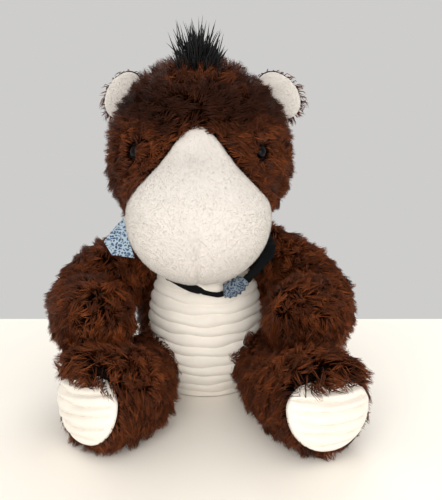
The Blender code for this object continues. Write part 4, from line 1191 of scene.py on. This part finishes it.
class PLUSH_OT_scarf(bpy.types.Operator):
    """Make the neck ribbon, the folded bandana and its knot"""

    bl_idname = "plush.scarf"
    bl_label = "Scarf"

    def execute(self, context):
        values = settings()
        ribbon = merged_copy("ribbon", "neck_ribbon")
        rows = ribbon_rows()
        length = norm(rows - np.roll(rows, 1, axis=0), axis=1).sum()
        pick(ribbon)
        bpy.ops.object.mode_set(mode="EDIT")
        bpy.ops.mesh.select_all(action="DESELECT")
        bpy.ops.mesh.edges_select_sharp(sharpness=radians(60.0))
        bpy.ops.transform.edge_crease(value=1.0)
        bpy.ops.object.mode_set(mode="OBJECT")
        smooth_levels(ribbon, 2)
        gather_front(ribbon, rows)
        dress(ribbon, woven("Black ribbon", tuple(values.ribbon), 1400.0, 0.75), "black_ribbon", "torso",
              "neck_ribbon")

        tip, top, low, hem = (np.array(corner) for corner in (BANDANA_TIP, BANDANA_TOP, BANDANA_LOW,
                                                              BANDANA_HEM))
        cad = solid_points("bandana")
        foot = cad[np.argmin(cad[:, 2])]
        normal = np.cross(tip - foot, top - foot)
        normal = normal / norm(normal)

        def cloth_place(u, v):
            inner = hem + np.outer(v, top - hem)
            outer = np.stack([np.interp(v, (0.0, 0.35, 1.0), row) for row in zip(low, tip, top)], axis=1)
            lift = 0.0022 * np.sin(pi * u) * np.sin(pi * v) + 0.0010 * np.sin(7.0 * v + 3.0 * u) * u
            return inner + (outer - inner) * u[:, None] + np.outer(lift, normal)

        cloth = grid_piece("bandana_cloth", 30, 30, cloth_place)
        finish_with(cloth, "SOLIDIFY", thickness=BANDANA_WALL, offset=0.0)
        pick(cloth)
        bpy.ops.object.shade_smooth()
        dress(cloth, printed_cotton("Printed bandana cotton", 1.0), "bandana_cotton", "torso", "bandana")
        side = norm(top - hem)
        area = sum(norm(np.cross(b - hem, c - hem)) / 2 for b, c in ((low, tip), (tip, top)))

        knot = merged_copy("knot", "bandana_knot")
        smooth_levels(knot, 2)
        places = points(knot)
        folds = KNOT_FOLD * np.sin(places[:, 0] * 900.0 + places[:, 2] * 500.0)
        middle = places.mean(0)
        smaller = middle + (places - middle) * np.array(KNOT_SHARES) + np.array(KNOT_SHIFT)
        set_points(knot, smaller + normals_of(knot) * folds[:, None])
        # The knot wears a darker copy of the bandana cotton: painted shade.
        dress(knot, printed_cotton("Bandana cotton with painted shade", KNOT_PAINTED_SHADE), "bandana_cotton", "torso",
              "bandana_knot")
        return {"FINISHED"}


# Stage

TABLE_TONES = ((0.3, (0.95, 0.91, 0.84)), (0.7, (0.98, 0.94, 0.87)))
TABLE_MIDDLE = (0.0, -0.85, 0.0)
TABLE_SIZE = (6.0, 2.0, 1.0)
ROOM_LIGHT = (1.0, 0.97, 0.93, 1.0)
ROOM_STRENGTH = 0.85
WALL = (0.615, 0.61, 0.60, 1.0)
LAMPS = (("key light", (-0.42, -1.30, 0.66), 0.9, 7.0, (1.0, 0.97, 0.93)),
         ("fill light", (0.60, -1.25, 0.38), 0.9, 5.5, (1.0, 0.95, 0.90)),
         ("back light", (0.2, 0.9, 1.1), 0.8, 6.0, (0.95, 0.97, 1.0)))
LAMP_AIM = (0.0, -0.03, 0.16)
CAMERA_PLACE = (0.015, -0.8138, 0.39985)
CAMERA_TILT_DEG = 72.0
CAMERA_LENS = 62.64
CAMERA_SENSOR = 36.0


class PLUSH_OT_stage(bpy.types.Operator):
    """Set the table, the soft lights and the camera"""

    bl_idname = "plush.stage"
    bl_label = "Stage"

    def execute(self, context):
        bpy.ops.object.select_all(action="DESELECT")
        bpy.ops.mesh.primitive_plane_add(size=1.0, location=TABLE_MIDDLE)
        floor = bpy.context.view_layer.objects.active
        floor.name = "floor"
        floor.scale = TABLE_SIZE
        bpy.ops.object.transform_apply(location=True, rotation=True, scale=True)
        material, nodes, links, shader = new_material("Pale table")
        place = nodes.new("ShaderNodeTexCoord")
        slow = add_node(nodes, "ShaderNodeTexNoise", Scale=3.0, Detail=2.0)
        tone = ramp_node(nodes, TABLE_TONES)
        wire(links, (place, "Object", slow, "Vector"), (slow, "Fac", tone, "Fac"),
             (tone, "Color", shader, "Base Color"))
        set_inputs(shader, Roughness=0.6)
        floor.data.materials.append(material)

        world = bpy.data.worlds.new("Pale wall")
        bpy.context.scene.world = world
        world.use_nodes = True
        nodes, links = world.node_tree.nodes, world.node_tree.links
        nodes.clear()
        lit = add_node(nodes, "ShaderNodeBackground", Color=ROOM_LIGHT, Strength=ROOM_STRENGTH)
        wall = add_node(nodes, "ShaderNodeBackground", Color=WALL)
        mix = nodes.new("ShaderNodeMixShader")
        end = nodes.new("ShaderNodeOutputWorld")
        path = nodes.new("ShaderNodeLightPath")
        seen = path.outputs["Is Camera Ray"]
        for ray in ("Is Glossy Ray", "Is Transmission Ray"):
            either = nodes.new("ShaderNodeMath")
            either.operation = "MAXIMUM"
            links.new(seen, either.inputs[0])
            links.new(path.outputs[ray], either.inputs[1])
            seen = either.outputs["Value"]
        links.new(seen, mix.inputs["Fac"])
        wire(links, (lit, "Background", mix, 1), (wall, "Background", mix, 2),
             (mix, "Shader", end, "Surface"))

        for name, place, size, energy, tint in LAMPS:
            bpy.ops.object.light_add(type="AREA", location=place)
            lamp = bpy.context.view_layer.objects.active
            lamp.name = name
            lamp.data.size = size
            lamp.data.energy = energy
            lamp.data.color = tint
            lamp.rotation_euler = (Vector(LAMP_AIM) - Vector(place)).to_track_quat("-Z", "Y").to_euler()

        bpy.ops.object.camera_add(location=CAMERA_PLACE, rotation=(radians(CAMERA_TILT_DEG), 0.0, 0.0))
        camera = bpy.context.view_layer.objects.active
        camera.data.lens = CAMERA_LENS
        camera.data.sensor_width = CAMERA_SENSOR
        bpy.context.scene.camera = camera
        bpy.context.scene.view_settings.view_transform = "Standard"
        return {"FINISHED"}


class PLUSH_PT_panel(bpy.types.Panel):
    """Lists the steps and the sizes"""

    bl_idname = "PLUSH_PT_panel"
    bl_label = "Plush horse"
    bl_space_type = "VIEW_3D"
    bl_region_type = "UI"
    bl_category = "Plush horse"

    def draw(self, context):
        for operator in OPERATORS:
            self.layout.operator(operator.bl_idname)
        for name in PlushSettings.__annotations__:
            self.layout.prop(settings(), name)


OPERATORS = (PLUSH_OT_forms, PLUSH_OT_muzzle, PLUSH_OT_ribbed, PLUSH_OT_eyes, PLUSH_OT_pile,
             PLUSH_OT_yarn, PLUSH_OT_scarf, PLUSH_OT_stage)


def register():
    for part in (PlushSettings, *OPERATORS, PLUSH_PT_panel):
        bpy.utils.register_class(part)
    bpy.types.Scene.plush_horse = bpy.props.PointerProperty(type=PlushSettings)


def unregister():
    del bpy.types.Scene.plush_horse
    for part in reversed((PlushSettings, *OPERATORS, PLUSH_PT_panel)):
        bpy.utils.unregister_class(part)


def main():
    register()
    bpy.ops.plush.forms()
    bpy.ops.plush.muzzle()
    bpy.ops.plush.ribbed()
    bpy.ops.plush.eyes()
    bpy.ops.plush.pile()
    bpy.ops.plush.yarn()
    bpy.ops.plush.scarf()
    bpy.ops.plush.stage()


if __name__ == "__main__":
    main()
